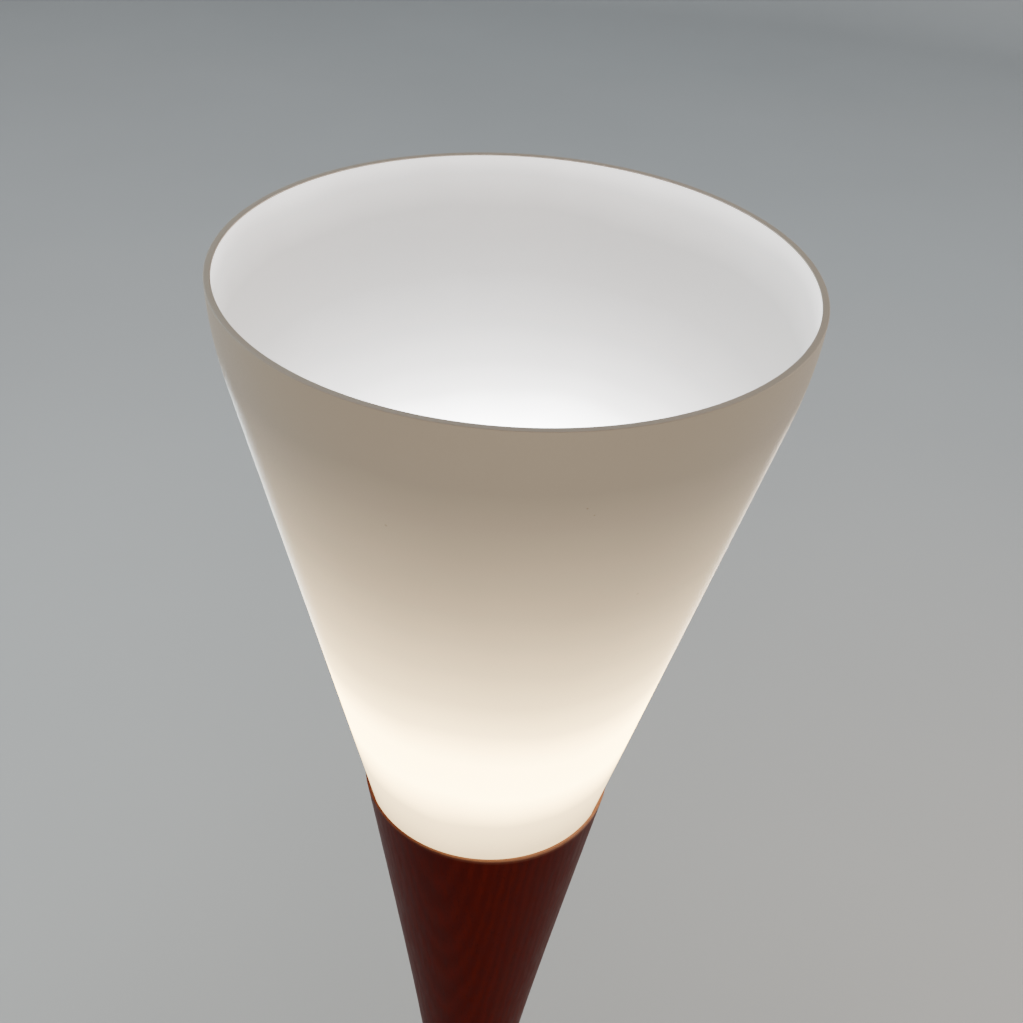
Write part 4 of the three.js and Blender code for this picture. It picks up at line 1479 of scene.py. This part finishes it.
@dataclass(frozen=True)
class Screw:
    """A small screw that stands on its head's face, pointing up +Z."""

    name: str
    length: float
    head_radius: float = 3 * MM
    head_height: float = 1.8 * MM
    shank_radius: float = 1.5 * MM
    drive: Drive = Drive.SLOT
    countersunk: bool = False
    pitch: float = 0.7 * MM
    thread_depth: float = 0.22 * MM
    face_share: float = 0.45
    recess_width: float = 0.24
    slot_reach: float = 1.1
    cross_reach: float = 0.62
    recess: float = 0.8 * MM

    def outline(self) -> Outline:
        """The screw's outline, from the middle of its face to its tip.

        Returns:
            The outline.
        """
        face = self.face_share * self.head_radius
        ease = 0.25 * MM
        if self.countersunk:
            under = [(self.head_radius, 0.0), (self.shank_radius, self.head_height)]
        else:
            rim = Corner(self.head_radius, 0.0, ease)
            seat = Corner(self.head_radius, self.head_height, ease)
            path = [Corner(face, 0.0), rim, seat, Corner(self.shank_radius, self.head_height)]
            under = eased(path, closed=False)[1:]
        taper = 2 * self.shank_radius
        shank = spaced(self.shank_radius, self.head_height + 0.1 * MM, self.length - taper, 0.12 * MM)
        return [(0.0, 0.0), (face, 0.0), *under, *shank, (0.0, self.length)]

    def made(self) -> Piece:
        """Makes the screw.

        Returns:
            The screw, with its face at the origin.
        """
        screw = turned(self.name, self.outline(), 32)
        span = (self.head_height + 0.2 * MM, self.length - 2 * self.shank_radius)
        cut_thread(screw, self.shank_radius, span, self.pitch, self.thread_depth)
        width = self.head_radius * self.recess_width
        reach = self.head_radius * (self.slot_reach if self.drive is Drive.SLOT else self.cross_reach)
        cutters = []
        for turn in range(self.drive.value):
            sides = (reach, width / 2) if turn == 0 else (width / 2, reach)
            low = Vector((-sides[0], -sides[1], -1 * MM))
            high = Vector((sides[0], sides[1], self.recess))
            cutters.append(block("recess", low, high, 0.05 * MM))
        cut_away(screw, *cutters)
        return screw


@dataclass
class Lampholder(SubAssembly):
    """The porcelain lampholder in its brass cap, with its screw shell, contact and terminal screws."""

    sheet: float = 1.4 * MM
    hub_wall: float = 3 * MM
    shell_sheet: float = 0.6 * MM
    thread_depth: float = 0.3 * MM
    wiring_gap: float = 8.5 * MM
    pocket: float = 8 * MM
    pocket_width: float = 9 * MM
    strip: float = 0.5 * MM
    segments: int = 96

    def cap(self) -> Piece:
        """The brass cap: a hub on the tube, and a skirt round the porcelain.

        Returns:
            The cap.
        """
        box, tube, body = NodeBox.of("holder_cap"), NodeBox.of("tube_upper"), NodeBox.of("holder_body")
        hole = tube.radius + PLAY
        hub = hole + self.hub_wall
        floor = body.low.z - self.wiring_gap
        wall = box.radius - self.sheet
        corners = [
            Corner(hole, box.low.z, 0.3 * MM),
            Corner(hub, box.low.z, 0.6 * MM),
            Corner(hub, floor, 0.8 * MM),
            Corner(box.radius - 0.4 * MM, floor, 2.2 * MM),
            Corner(box.radius - 0.4 * MM, box.high.z - 2.6 * MM, 0.3 * MM),
            Corner(box.radius, box.high.z - 2.2 * MM, 0.3 * MM),
            Corner(box.radius, box.high.z, 0.5 * MM),
            Corner(wall, box.high.z, 0.3 * MM),
            Corner(wall, floor + self.sheet, 1.4 * MM),
            Corner(hole, floor + self.sheet, 0.3 * MM),
        ]
        cap = turned("brass_cap", eased(corners, steps=5), self.segments)
        return fitted(dressed(cap, BRASS), "lamp", "holder_cap")

    def porcelain(self) -> Piece:
        """The porcelain body, with a pocket each side for a terminal.

        Returns:
            The porcelain body.
        """
        box, cap, shell = NodeBox.of("holder_body"), NodeBox.of("holder_cap"), NodeBox.of("screw_shell")
        skirt = cap.radius - self.sheet - PLAY
        shoulder = cap.high.z + PLAY
        bore = shell.radius + PLAY
        corners = [
            Corner(skirt, box.low.z, 0.8 * MM),
            Corner(skirt, shoulder, 0.2 * MM),
            Corner(box.radius, shoulder, 0.7 * MM),
            Corner(box.radius, box.high.z - 9 * MM, 0.4 * MM),
            Corner(box.radius - 0.7 * MM, box.high.z - 8 * MM, 0.5 * MM),
            Corner(box.radius - 0.7 * MM, box.high.z, 1.6 * MM),
            Corner(bore, box.high.z, 1.0 * MM),
            Corner(bore, shell.low.z, 0.6 * MM),
        ]
        outline = [(0, box.low.z), *eased(corners, steps=5), (0, shell.low.z)]
        body = turned("porcelain_body", outline, self.segments)
        screw = NodeBox.of("terminal_screw_right")
        pockets, holes = [], []
        for side in (1, -1):
            reach = skirt - self.pocket
            ends = sorted((side * reach, side * (skirt + 2 * MM)))
            low = Vector((ends[0], -self.pocket_width / 2, box.low.z - 1 * MM))
            high = Vector((ends[1], self.pocket_width / 2, box.low.z + self.pocket))
            pockets.append(block("pocket", low, high, 0.6 * MM))
            start, end = screw.low.x - 1 * MM, reach + 1 * MM
            hole = turned("hole", [(0, start), (SCREW_BORE, start), (SCREW_BORE, end), (0, end)], 16)
            turn = Matrix.Rotation(side * math.pi / 2, 4, "Y") @ ASKEW
            hole.data.transform(Matrix.Translation((0, 0, screw.middle.z)) @ turn)
            holes.append(hole)
        cut_away(body, *pockets, *holes)
        return fitted(dressed(body, PORCELAIN), "lamp", "holder_body")

    def shell(self) -> Piece:
        """The screw shell, with a rolled thread.

        Returns:
            The shell.
        """
        box = NodeBox.of("screw_shell")
        outer, inner = box.radius, box.radius - self.shell_sheet
        low, high = box.low.z, box.high.z
        outline = spaced(outer, low, high, 0.3 * MM) + spaced(inner, high, low, 0.3 * MM)
        shell = turned("rolled_shell", outline, self.segments)
        span = (low + 1 * MM, high - 2 * MM)
        cut_thread(shell, outer, span, BULB_PITCH, self.thread_depth)
        cut_thread(shell, inner, span, BULB_PITCH, self.thread_depth, sink=-1.0, phase=0.5)
        return fitted(dressed(shell, BRASS), "lamp", "screw_shell")

    def contact(self) -> Piece:
        """The sprung strip under the bulb's tip.

        Returns:
            The strip.
        """
        box = NodeBox.of("centre_contact")
        low, high = box.low, box.high
        foot, crest = -6 * MM, -1 * MM
        line = bent_path(
            [
                Vector((low.x, 0, low.z)),
                Vector((foot, 0, low.z)),
                Vector((crest, 0, high.z - self.strip)),
                Vector((high.x, 0, high.z - self.strip)),
            ],
            3 * MM,
            8,
        )
        shape = bmesh.new()
        rows = []
        for i, point in enumerate(line):
            half = (high.y - low.y) / 2 * (0.8 if i in (0, len(line) - 1) else 1.0)
            offsets = ((-half, 0.0), (half, 0.0), (half, self.strip), (-half, self.strip))
            rows.append([shape.verts.new((point.x, y, point.z + z)) for y, z in offsets])
        for start, end in zip(rows, rows[1:]):
            for k in range(4):
                shape.faces.new([start[k], start[(k + 1) % 4], end[(k + 1) % 4], end[k]])
        shape.faces.new(rows[0])
        shape.faces.new(rows[-1])
        bmesh.ops.bevel(shape, geom=shape.edges[:], offset=0.06 * MM, segments=1, affect="EDGES")
        strip = new_piece("sprung_contact", shape)
        return fitted(dressed(strip, BRASS), "lamp", "centre_contact")

    def terminal_screws(self) -> list[Piece]:
        """A slotted screw each side, driven in along X.

        Returns:
            The right and the left screw.
        """
        found = []
        for side, word in ((1, "right"), (-1, "left")):
            box = NodeBox.of(f"terminal_screw_{word}")
            screw = Screw(f"slotted_screw_{word}", box.high.x - box.low.x).made()
            face = box.high.x if side > 0 else box.low.x
            turn = Matrix.Rotation(-side * math.pi / 2, 4, "Y")
            screw.data.transform(Matrix.Translation((face, 0, box.middle.z)) @ turn)
            found.append(fitted(dressed(screw, BRASS), "lamp", f"terminal_screw_{word}"))
        return found

    def build(self) -> list[Piece]:
        """Makes the lampholder."""
        return [self.cap(), self.porcelain(), self.shell(), self.contact(), *self.terminal_screws()]


# ---------------------------------------------------------------- bulb


@dataclass
class Bulb(SubAssembly):
    """The globe bulb: tip and insulator on the foot that only rises, the rest on the part that turns."""

    collar_wall: float = 1.8 * MM
    globe_wall: float = 1.5 * MM
    thread_depth: float = 0.85 * MM
    collar_foot: float = 13.5 * MM
    segments: int = 96

    def foot(self) -> list[Piece]:
        """The solder tip and the glass insulator round it.

        Returns:
            The tip and the insulator.
        """
        tip, ring = NodeBox.of("bulb_tip"), NodeBox.of("bulb_insulator")
        r, low, high = tip.radius, tip.low.z, tip.high.z
        solder = [(0, low), (r * 0.35, low + 0.05 * MM), (r * 0.66, low + 0.3 * MM)]
        solder += [(r * 0.86, low + 0.8 * MM), (r * 0.97, low + 1.5 * MM), (r, low + 2.1 * MM)]
        solder += [(r, high), (0, high)]
        button = fitted(dressed(turned("solder_tip", solder, 48), ZINC), "bulb_foot", "bulb_tip")
        inner, top = tip.radius + 1 * MM, ring.high.z - 0.05 * MM
        slope = [
            Corner(inner, ring.low.z, 0.3 * MM),
            Corner(inner + 1.2 * MM, ring.low.z + 0.5 * MM, 0.5 * MM),
            Corner(ring.radius - 1.5 * MM, ring.high.z - 1.2 * MM, 1.2 * MM),
            Corner(ring.radius, top),
        ]
        outline = [(0, ring.low.z), *eased([Corner(0, ring.low.z), *slope], closed=False)[1:], (0, top)]
        insulator = turned("contact_glass", outline, 64)
        return [button, fitted(dressed(insulator, CONTACT_GLASS), "bulb_foot", "bulb_insulator")]

    def screw_cap(self) -> Piece:
        """The cap, with its rolled thread.

        Returns:
            The cap.
        """
        box = NodeBox.of("bulb_screw_cap")
        r, low, high = box.radius, box.low.z, box.high.z
        wall = spaced(r, low + 1.6 * MM, high - 1.2 * MM, 0.25 * MM)
        outline = [(0, low), (r - 2 * MM, low), (r - 0.9 * MM, low + 0.5 * MM), *wall, (r, high), (0, high)]
        cap = turned("rolled_cap", outline, self.segments)
        span = (low + 1.8 * MM, high - 1.6 * MM)
        cut_thread(cap, r, span, BULB_PITCH, self.thread_depth)
        return fitted(dressed(cap, ALUMINIUM), "bulb", "bulb_screw_cap")

    def collar(self) -> Piece:
        """The moulded collar between cap and dome.

        Returns:
            The collar.
        """
        box = NodeBox.of("bulb_collar")
        low, high = box.low.z, box.high.z
        height = high - low

        def flare(z: float) -> float:
            """The collar's radius at a height."""
            share = (z - low) / height
            return self.collar_foot + (box.radius - self.collar_foot) * share**1.2

        outside = traced(flare, low + 0.6 * MM, high - 2.4 * MM, 24)
        groove = [
            (flare(high - 2.0 * MM) - 0.5 * MM, high - 2.2 * MM),
            (flare(high - 1.6 * MM) - 0.5 * MM, high - 1.8 * MM),
            (flare(high - 1.4 * MM), high - 1.5 * MM),
        ]
        inside = [(r - self.collar_wall, z) for r, z in traced(flare, high, low + self.collar_wall, 12)]
        outline = [(0, low), (self.collar_foot - 0.4 * MM, low), *outside, *groove, (box.radius, high)]
        outline += [*inside, (0, low + self.collar_wall)]
        collar = turned("moulded_collar", outline, self.segments)
        return fitted(dressed(collar, WHITE_PLASTIC), "bulb", "bulb_collar")

    def dome(self) -> Piece:
        """The milky dome, a shell open below.

        Returns:
            The dome.
        """
        box, collar = NodeBox.of("bulb_globe"), NodeBox.of("bulb_collar")
        centre = box.high.z - box.radius
        thinner = box.radius - self.globe_wall

        def shell(radius: float, steps: int = 32) -> Outline:
            """Points from the shell's open edge to its crown.

            Args:
                radius: The shell's radius.
                steps: Spans between the points.

            Returns:
                The points.
            """
            lowest = math.asin((centre - box.low.z) / radius)
            angles = [-lowest + (math.pi / 2 + lowest) * i / steps for i in range(steps + 1)]
            points = [(radius * math.cos(a), centre + radius * math.sin(a)) for a in angles]
            return [*points[:-1], (0.0, centre + radius)]

        outline = [*shell(box.radius), *reversed(shell(thinner))]
        dome = turned("milky_dome", outline, self.segments)
        ends = {"foot_height": collar.high.z, "crown_height": box.high.z}
        finish = Diffuser("milky diffuser", "bulb_diffuser", **ends)
        return fitted(dressed(dome, finish), "bulb", "bulb_globe")

    def build(self) -> list[Piece]:
        """Makes the bulb."""
        return [*self.foot(), self.screw_cap(), self.collar(), self.dome()]


# ---------------------------------------------------------------- foot switch


@dataclass
class FootSwitch(SubAssembly):
    """The push switch in the foot: body, bushing, knurled ring, button and spring."""

    joint: str = "switch_press"
    pressed_share: float = 0.5
    bore: float = 4.3 * MM
    plunger: float = 3.9 * MM
    cap_height: float = 5 * MM
    thread_pitch: float = 0.75 * MM
    thread_depth: float = 0.3 * MM
    knurls: int = 36
    knurl_depth: float = 0.28 * MM
    spring_turns: int = 5
    spring_wire: float = 0.45 * MM
    steps_per_turn: int = 24
    segments: int = 72

    def shifted(self, piece: Piece) -> Piece:
        """Moves a piece from the Z axis to the switch's.

        Args:
            piece: The piece.

        Returns:
            The piece.
        """
        middle = NodeBox.of("switch_ring").middle
        piece.data.transform(Matrix.Translation((middle.x, middle.y, 0)))
        return piece

    def body(self) -> Piece:
        """The moulded body under the foot's top.

        Returns:
            The body.
        """
        box = NodeBox.of("switch_body")
        body = block("switch_housing", box.low, box.high, 0.9 * MM)
        return fitted(dressed(body, BLACK_PLASTIC), "lamp", "switch_body")

    def bushing(self) -> Piece:
        """The threaded bushing that the button runs in.

        Returns:
            The bushing.
        """
        box = NodeBox.of("switch_bushing")
        low, high = box.low.z, box.high.z
        face = box.radius - 0.5 * MM
        wall = spaced(box.radius, low + 0.6 * MM, high - 0.6 * MM, 0.14 * MM)
        outline = [(self.bore, low), (face, low), *wall, (face, high), (self.bore, high)]
        bushing = turned("threaded_bushing", outline, self.segments)
        span = (low + 0.8 * MM, high - 0.8 * MM)
        cut_thread(bushing, box.radius, span, self.thread_pitch, self.thread_depth)
        return fitted(dressed(self.shifted(bushing), CHROME), "lamp", "switch_bushing")

    def ring(self) -> Piece:
        """The ring nut, with a knurled edge.

        Returns:
            The ring nut.
        """
        box, bushing = NodeBox.of("switch_ring"), NodeBox.of("switch_bushing")
        hole = bushing.radius + PLAY
        corners = [
            Corner(hole, box.low.z, 0.2 * MM),
            Corner(box.radius, box.low.z, 0.3 * MM),
            Corner(box.radius, box.high.z - 0.9 * MM, 0.3 * MM),
            Corner(box.radius - 0.9 * MM, box.high.z, 0.5 * MM),
            Corner(hole, box.high.z, 0.4 * MM),
        ]
        ring = turned("knurled_ring", eased(corners), self.knurls * 8)
        near_edge = box.radius - 0.25 * MM
        for vertex in ring.data.vertices:
            x, y, z = vertex.co
            radius = math.hypot(x, y)
            if radius > near_edge:
                wave = 0.5 - 0.5 * math.cos(self.knurls * math.atan2(y, x))
                scale = 1 - self.knurl_depth * wave / radius
                vertex.co = (x * scale, y * scale, z)
        return fitted(dressed(self.shifted(ring), CHROME), "lamp", "switch_ring")

    def button(self) -> Piece:
        """The domed button on its plunger.

        Returns:
            The button.
        """
        box = NodeBox.of("switch_button")
        low, high, radius = box.low.z, box.high.z, box.radius
        cap = high - self.cap_height
        corners = [
            Corner(0, low),
            Corner(self.plunger, low, 0.4 * MM),
            Corner(self.plunger, cap, 0.2 * MM),
            Corner(radius, cap, 0.5 * MM),
            Corner(radius, high - 2.2 * MM, 0.8 * MM),
            Corner(radius - 1.4 * MM, high - 0.9 * MM, 0.8 * MM),
            Corner(radius * 0.5, high, 2.5 * MM),
            Corner(0, high),
        ]
        button = turned("domed_button", eased(corners, closed=False, steps=6), self.segments)
        return fitted(dressed(self.shifted(button), CHROME), "button", "switch_button")

    def spring(self) -> Piece:
        """The coil spring under the plunger, made at its resting length; on the real switch it shortens as
        the button goes down.

        Returns:
            The spring.
        """
        box = NodeBox.of("switch_spring")
        coil = box.radius - self.spring_wire
        low, high = box.low.z + self.spring_wire, box.high.z - self.spring_wire
        count = self.spring_turns * self.steps_per_turn
        path = []
        for i in range(count + 1):
            share = i / count
            angle = 2 * math.pi * self.spring_turns * share
            rise = 3 * share**2 - 2 * share**3
            path.append(Vector((coil * math.cos(angle), coil * math.sin(angle), low + (high - low) * rise)))
        spring = dressed(self.shifted(swept("coil_spring", path, self.spring_wire, 10)), SPRING_STEEL)
        fitted(spring, "lamp", "switch_spring")
        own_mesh(spring)
        return spring

    def build(self) -> list[Piece]:
        """Makes the switch."""
        return [self.body(), self.bushing(), self.ring(), self.button(), self.spring()]


# ---------------------------------------------------------------- underside and mains side


@dataclass
class Underside(SubAssembly):
    """The cover plate with its screws, and the felt ring that the lamp stands on."""

    felt_width: float = 8 * MM
    sink: float = 1.3 * MM
    groove_middles: tuple[float, float] = (32 * MM, 90 * MM)
    groove_depth: float = 0.5 * MM
    flat_radius: float = 100 * MM
    segments: int = 160

    def cover(self) -> Piece:
        """The cover plate, countersunk for its screws, with two shallow rings in its face.

        Returns:
            The plate.
        """
        box = NodeBox.of("bottom_cover")
        low, high, radius = box.low.z, box.high.z, box.radius
        flat, depth = self.flat_radius, self.groove_depth
        profile = ((-2 * MM, 0.0), (-1 * MM, depth), (1 * MM, depth), (2 * MM, 0.0))
        outline = [(0.0, low)]
        for middle in self.groove_middles:
            outline += [(middle + across, low + rise) for across, rise in profile]
        edge = [Corner(flat, low), Corner(radius, low, 0.5 * MM)]
        edge += [Corner(radius, high, 0.3 * MM), Corner(flat, high)]
        outline += [*eased(edge, closed=False), (0, high)]
        cover = turned("cover_plate", outline, self.segments)
        cutters = []
        for node in self.screw_nodes():
            screw = NodeBox.of(node)
            wide, narrow = screw.radius + self.sink, SCREW_BORE
            start, end = low - 1 * MM, high + 1 * MM
            cutter = turned("sink", [(0, start), (wide, start), (narrow, high), (narrow, end), (0, end)], 32)
            cutter.data.transform(Matrix.Translation((screw.middle.x, screw.middle.y, 0)))
            cutters.append(cutter)
        cut_away(cover, *cutters)
        return fitted(dressed(cover, BLACK_PLASTIC), "lamp", "bottom_cover")

    def screw_nodes(self) -> list[str]:
        """The cover screws' nodes."""
        return [f"cover_screw_{number}" for number in (1, 2, 3)]

    def screws(self) -> list[Piece]:
        """The countersunk cross-head screws.

        Returns:
            The three screws.
        """
        found = []
        for number, node in enumerate(self.screw_nodes()):
            box = NodeBox.of(node)
            name = f"cross_screw_{number + 1}"
            length = box.high.z - box.low.z
            screw = Screw(name, length, head_height=1.5 * MM, drive=Drive.CROSS, countersunk=True).made()
            turn = Matrix.Rotation(0.6 + 0.9 * number, 4, "Z")
            screw.data.transform(Matrix.Translation((box.middle.x, box.middle.y, box.low.z)) @ turn)
            found.append(fitted(dressed(screw, ZINC), "lamp", node))
        return found

    def felt(self) -> Piece:
        """The felt ring.

        Returns:
            The ring.
        """
        box = NodeBox.of("felt_ring")
        inner = box.radius - self.felt_width
        corners = [
            Corner(inner, box.low.z, 0.9 * MM),
            Corner(box.radius, box.low.z, 0.9 * MM),
            Corner(box.radius, box.high.z, 0.4 * MM),
            Corner(inner, box.high.z, 0.4 * MM),
        ]
        ring = turned("felt_pad_ring", eased(corners, steps=5), self.segments)
        return fitted(dressed(ring, FELT), "lamp", "felt_ring")

    def build(self) -> list[Piece]:
        """Makes the underside."""
        return [self.cover(), *self.screws(), self.felt()]


@dataclass
class MainsSide(SubAssembly):
    """The inlet bushing in the foot's rear edge, and the parts hidden behind the cover."""

    bore: float = 4.2 * MM
    neck: float = 5 * MM
    flange: float = 2 * MM
    segments: int = 64

    def bushing(self) -> Piece:
        """The bushing, which lies along +Y.

        Returns:
            The bushing.
        """
        box = NodeBox.of("inlet_bushing")
        inner, face = box.low.y, box.high.y
        seat = face - self.flange
        corners = [
            Corner(self.bore, inner, 0.3 * MM),
            Corner(self.neck, inner, 0.5 * MM),
            Corner(self.neck, seat, 0.1 * MM),
            Corner(box.radius, seat, 0.2 * MM),
            Corner(box.radius, face, 0.9 * MM),
            Corner(self.bore, face, 0.9 * MM),
        ]
        bushing = turned("rear_bushing", eased(corners, steps=5), self.segments)
        turn = Matrix.Rotation(-math.pi / 2, 4, "X")
        bushing.data.transform(Matrix.Translation((0, 0, box.middle.z)) @ turn)
        return fitted(dressed(bushing, BLACK_PLASTIC), "lamp", "inlet_bushing")

    def block_screw(self) -> Piece:
        """The slotted screw that holds the terminal block.

        Returns:
            The screw.
        """
        box = NodeBox.of("block_screw")
        screw = Screw("block_fixing_screw", box.high.z - box.low.z).made()
        screw.data.transform(Matrix.Translation((box.middle.x, box.middle.y, box.low.z)))
        return fitted(dressed(screw, ZINC), "lamp", "block_screw")

    def build(self) -> list[Piece]:
        """Makes the bushing and the screw."""
        return [self.bushing(), self.block_screw()]


@dataclass
class KeptNodes:
    """CAD nodes whose shapes are right as they are, with their finishes."""

    finishes: dict[str, Finish] = field(
        default_factory=lambda: {
            "base_weight": IRON,
            "terminal_block": WHITE_PLASTIC,
            "bulb_led_board": ALUMINIUM,
            "bulb_driver_board": GREEN_BOARD,
            "lead_neutral": BLUE_LEAD,
            "lead_live": BROWN_LEAD,
            "lead_switch_feed": BROWN_LEAD,
        }
    )

    def dress(self) -> None:
        """Gives each node its finish."""
        for node, finish in self.finishes.items():
            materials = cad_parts[node].data.materials
            materials.clear()
            materials.append(finish.material())
            logger.info("finished %s with %s", node, finish.name)


# ---------------------------------------------------------------- studio


@dataclass(frozen=True)
class Softbox:
    """A large soft light."""

    name: str
    place: tuple[float, float, float]
    target: tuple[float, float, float]
    size: tuple[float, float]
    power: float
    tint: Colour = (1.0, 1.0, 1.0)
    spread: float = 180.0

    def put(self) -> Piece:
        """Puts the light in the scene.

        Returns:
            The light.
        """
        source = bpy.data.lights.new(self.name, "AREA")
        source.shape = "RECTANGLE"
        source.size, source.size_y = self.size
        source.energy = self.power
        source.color = self.tint
        source.spread = math.radians(self.spread)
        light = bpy.data.objects.new(self.name, source)
        light.location = self.place
        beam = Vector(self.target) - Vector(self.place)
        light.rotation_euler = beam.to_track_quat("-Z", "Y").to_euler()
        light.visible_camera = False
        bpy.context.scene.collection.objects.link(light)
        return light


@dataclass
class Studio:
    """A pale floor that sweeps up into a backdrop, and soft light round the lamp."""

    floor_radius: float = 4.5
    sweep_radius: float = 7.5
    sweep_height: float = 7.0
    surround: Colour = (1.0, 0.97, 0.93)
    surround_strength: float = 0.2
    softboxes: tuple[Softbox, ...] = (
        Softbox("softbox_left", (-1.6, 0.9, 2.2), (0, 0, 1.4), (1.2, 1.3), 42.0, (0.84, 0.97, 1.0)),
        Softbox("softbox_right", (1.6, 0.8, 2.1), (0, 0, 1.4), (1.0, 1.2), 34.0, (1.0, 0.84, 0.68)),
        Softbox("softbox_front", (0.3, -2.6, 1.5), (0, 0, 1.2), (1.6, 1.2), 9.0, (1.0, 0.74, 0.5), 75.0),
        Softbox("washer_back", (0, 1.6, 4.4), (0, 7.2, 0.4), (3.6, 2.2), 150.0, (0.84, 0.94, 1.0), 150.0),
        Softbox("washer_front", (0, -1.6, 4.4), (0, -7.2, 0.4), (3.6, 2.2), 150.0, (1.0, 0.97, 0.93), 150.0),
        Softbox("washer_left", (-1.6, 0, 4.4), (-7.2, 0, 0.4), (3.6, 2.2), 150.0, (0.92, 0.97, 1.0), 150.0),
        Softbox("washer_right", (1.6, 0, 4.4), (7.2, 0, 0.4), (3.6, 2.2), 150.0, (1.0, 0.97, 0.93), 150.0),
        Softbox("kicker_left", (-0.42, 1.0, 0.52), (0, 0, 1.3), (0.4, 0.45), 2.7, (0.86, 0.97, 1.0), 90.0),
        Softbox("kicker_right", (0.42, 1.0, 0.52), (0, 0, 1.3), (0.35, 0.45), 2.1, (1.0, 0.88, 0.74), 90.0),
    )

    def floor(self) -> Piece:
        """The floor, which sweeps up into a round backdrop.

        Returns:
            The floor.
        """
        level = -0.05 * MM
        corner = Corner(self.sweep_radius, level, 0.9 * (self.sweep_radius - self.floor_radius))
        edge = [Corner(self.floor_radius, level), corner, Corner(self.sweep_radius, self.sweep_height)]
        outline = [(0.0, level), (1.0, level), *eased(edge, closed=False, steps=24)]
        floor = turned("studio_sweep", outline, 96)
        floor.data.materials.append(Backdrop("studio paper", "").material())
        return floor

    def surroundings(self) -> None:
        """Even soft light from all round."""
        world = bpy.data.worlds.new("studio surround")
        world.use_nodes = True
        background = world.node_tree.nodes["Background"]
        background.inputs["Color"].default_value = (*self.surround, 1.0)
        background.inputs["Strength"].default_value = self.surround_strength
        bpy.context.scene.world = world

    def build(self) -> None:
        """Lays the floor and puts up the lights."""
        self.floor()
        self.surroundings()
        for softbox in self.softboxes:
            softbox.put()
            logger.info("put up %s", softbox.name)


@dataclass(frozen=True)
class Viewpoint:
    """The camera, looking down at the lamp's head from in front."""

    place: tuple[float, float, float] = (0.0, -0.5043, 1.7374)
    lens: float = 45.75
    sensor_width: float = 36.0
    yaw: float = math.radians(0.47)
    pitch: float = math.radians(35.92)
    roll: float = math.radians(3.95)

    def put(self) -> Piece:
        """Puts the camera in the scene.

        Returns:
            The camera.
        """
        reach = math.cos(self.pitch)
        ahead = Vector((math.sin(self.yaw) * reach, math.cos(self.yaw) * reach, -math.sin(self.pitch)))
        level = Vector((math.cos(self.yaw), -math.sin(self.yaw), 0))
        upright = level.cross(ahead)
        right = level * math.cos(self.roll) + upright * math.sin(self.roll)
        up = upright * math.cos(self.roll) - level * math.sin(self.roll)
        lens = bpy.data.cameras.new("viewpoint")
        lens.lens = self.lens
        lens.sensor_width = self.sensor_width
        lens.clip_start = 0.01
        camera = bpy.data.objects.new("viewpoint", lens)
        turn = Matrix((right, up, -ahead)).transposed().to_4x4()
        camera.matrix_world = Matrix.Translation(self.place) @ turn
        bpy.context.scene.collection.objects.link(camera)
        bpy.context.scene.camera = camera
        return camera


def assemblies(lines: Lines) -> Iterable[SubAssembly]:
    """The lamp's sub-assemblies, from the top down.

    Args:
        lines: The lines that the glass and the wood share.

    Returns:
        The sub-assemblies.
    """
    return (
        GlassShade(lines),
        WoodColumn(lines),
        WoodFoot(lines),
        SeatAndCup(),
        Clamp(),
        Lampholder(),
        Bulb(),
        FootSwitch(),
        Underside(),
        MainsSide(),
    )


def main() -> None:
    """Builds the lamp piece by piece, then the studio round it."""
    logging.basicConfig(level=logging.INFO, format="%(name)s: %(message)s")
    Viewpoint().put()
    for assembly in assemblies(Lines.read()):
        for piece in assembly.build():
            faces = len(piece.data.polygons)
            logger.info("%s made %s, %d faces", type(assembly).__name__, piece.name, faces)
    KeptNodes().dress()
    Studio().build()


if __name__ == "__main__":
    main()
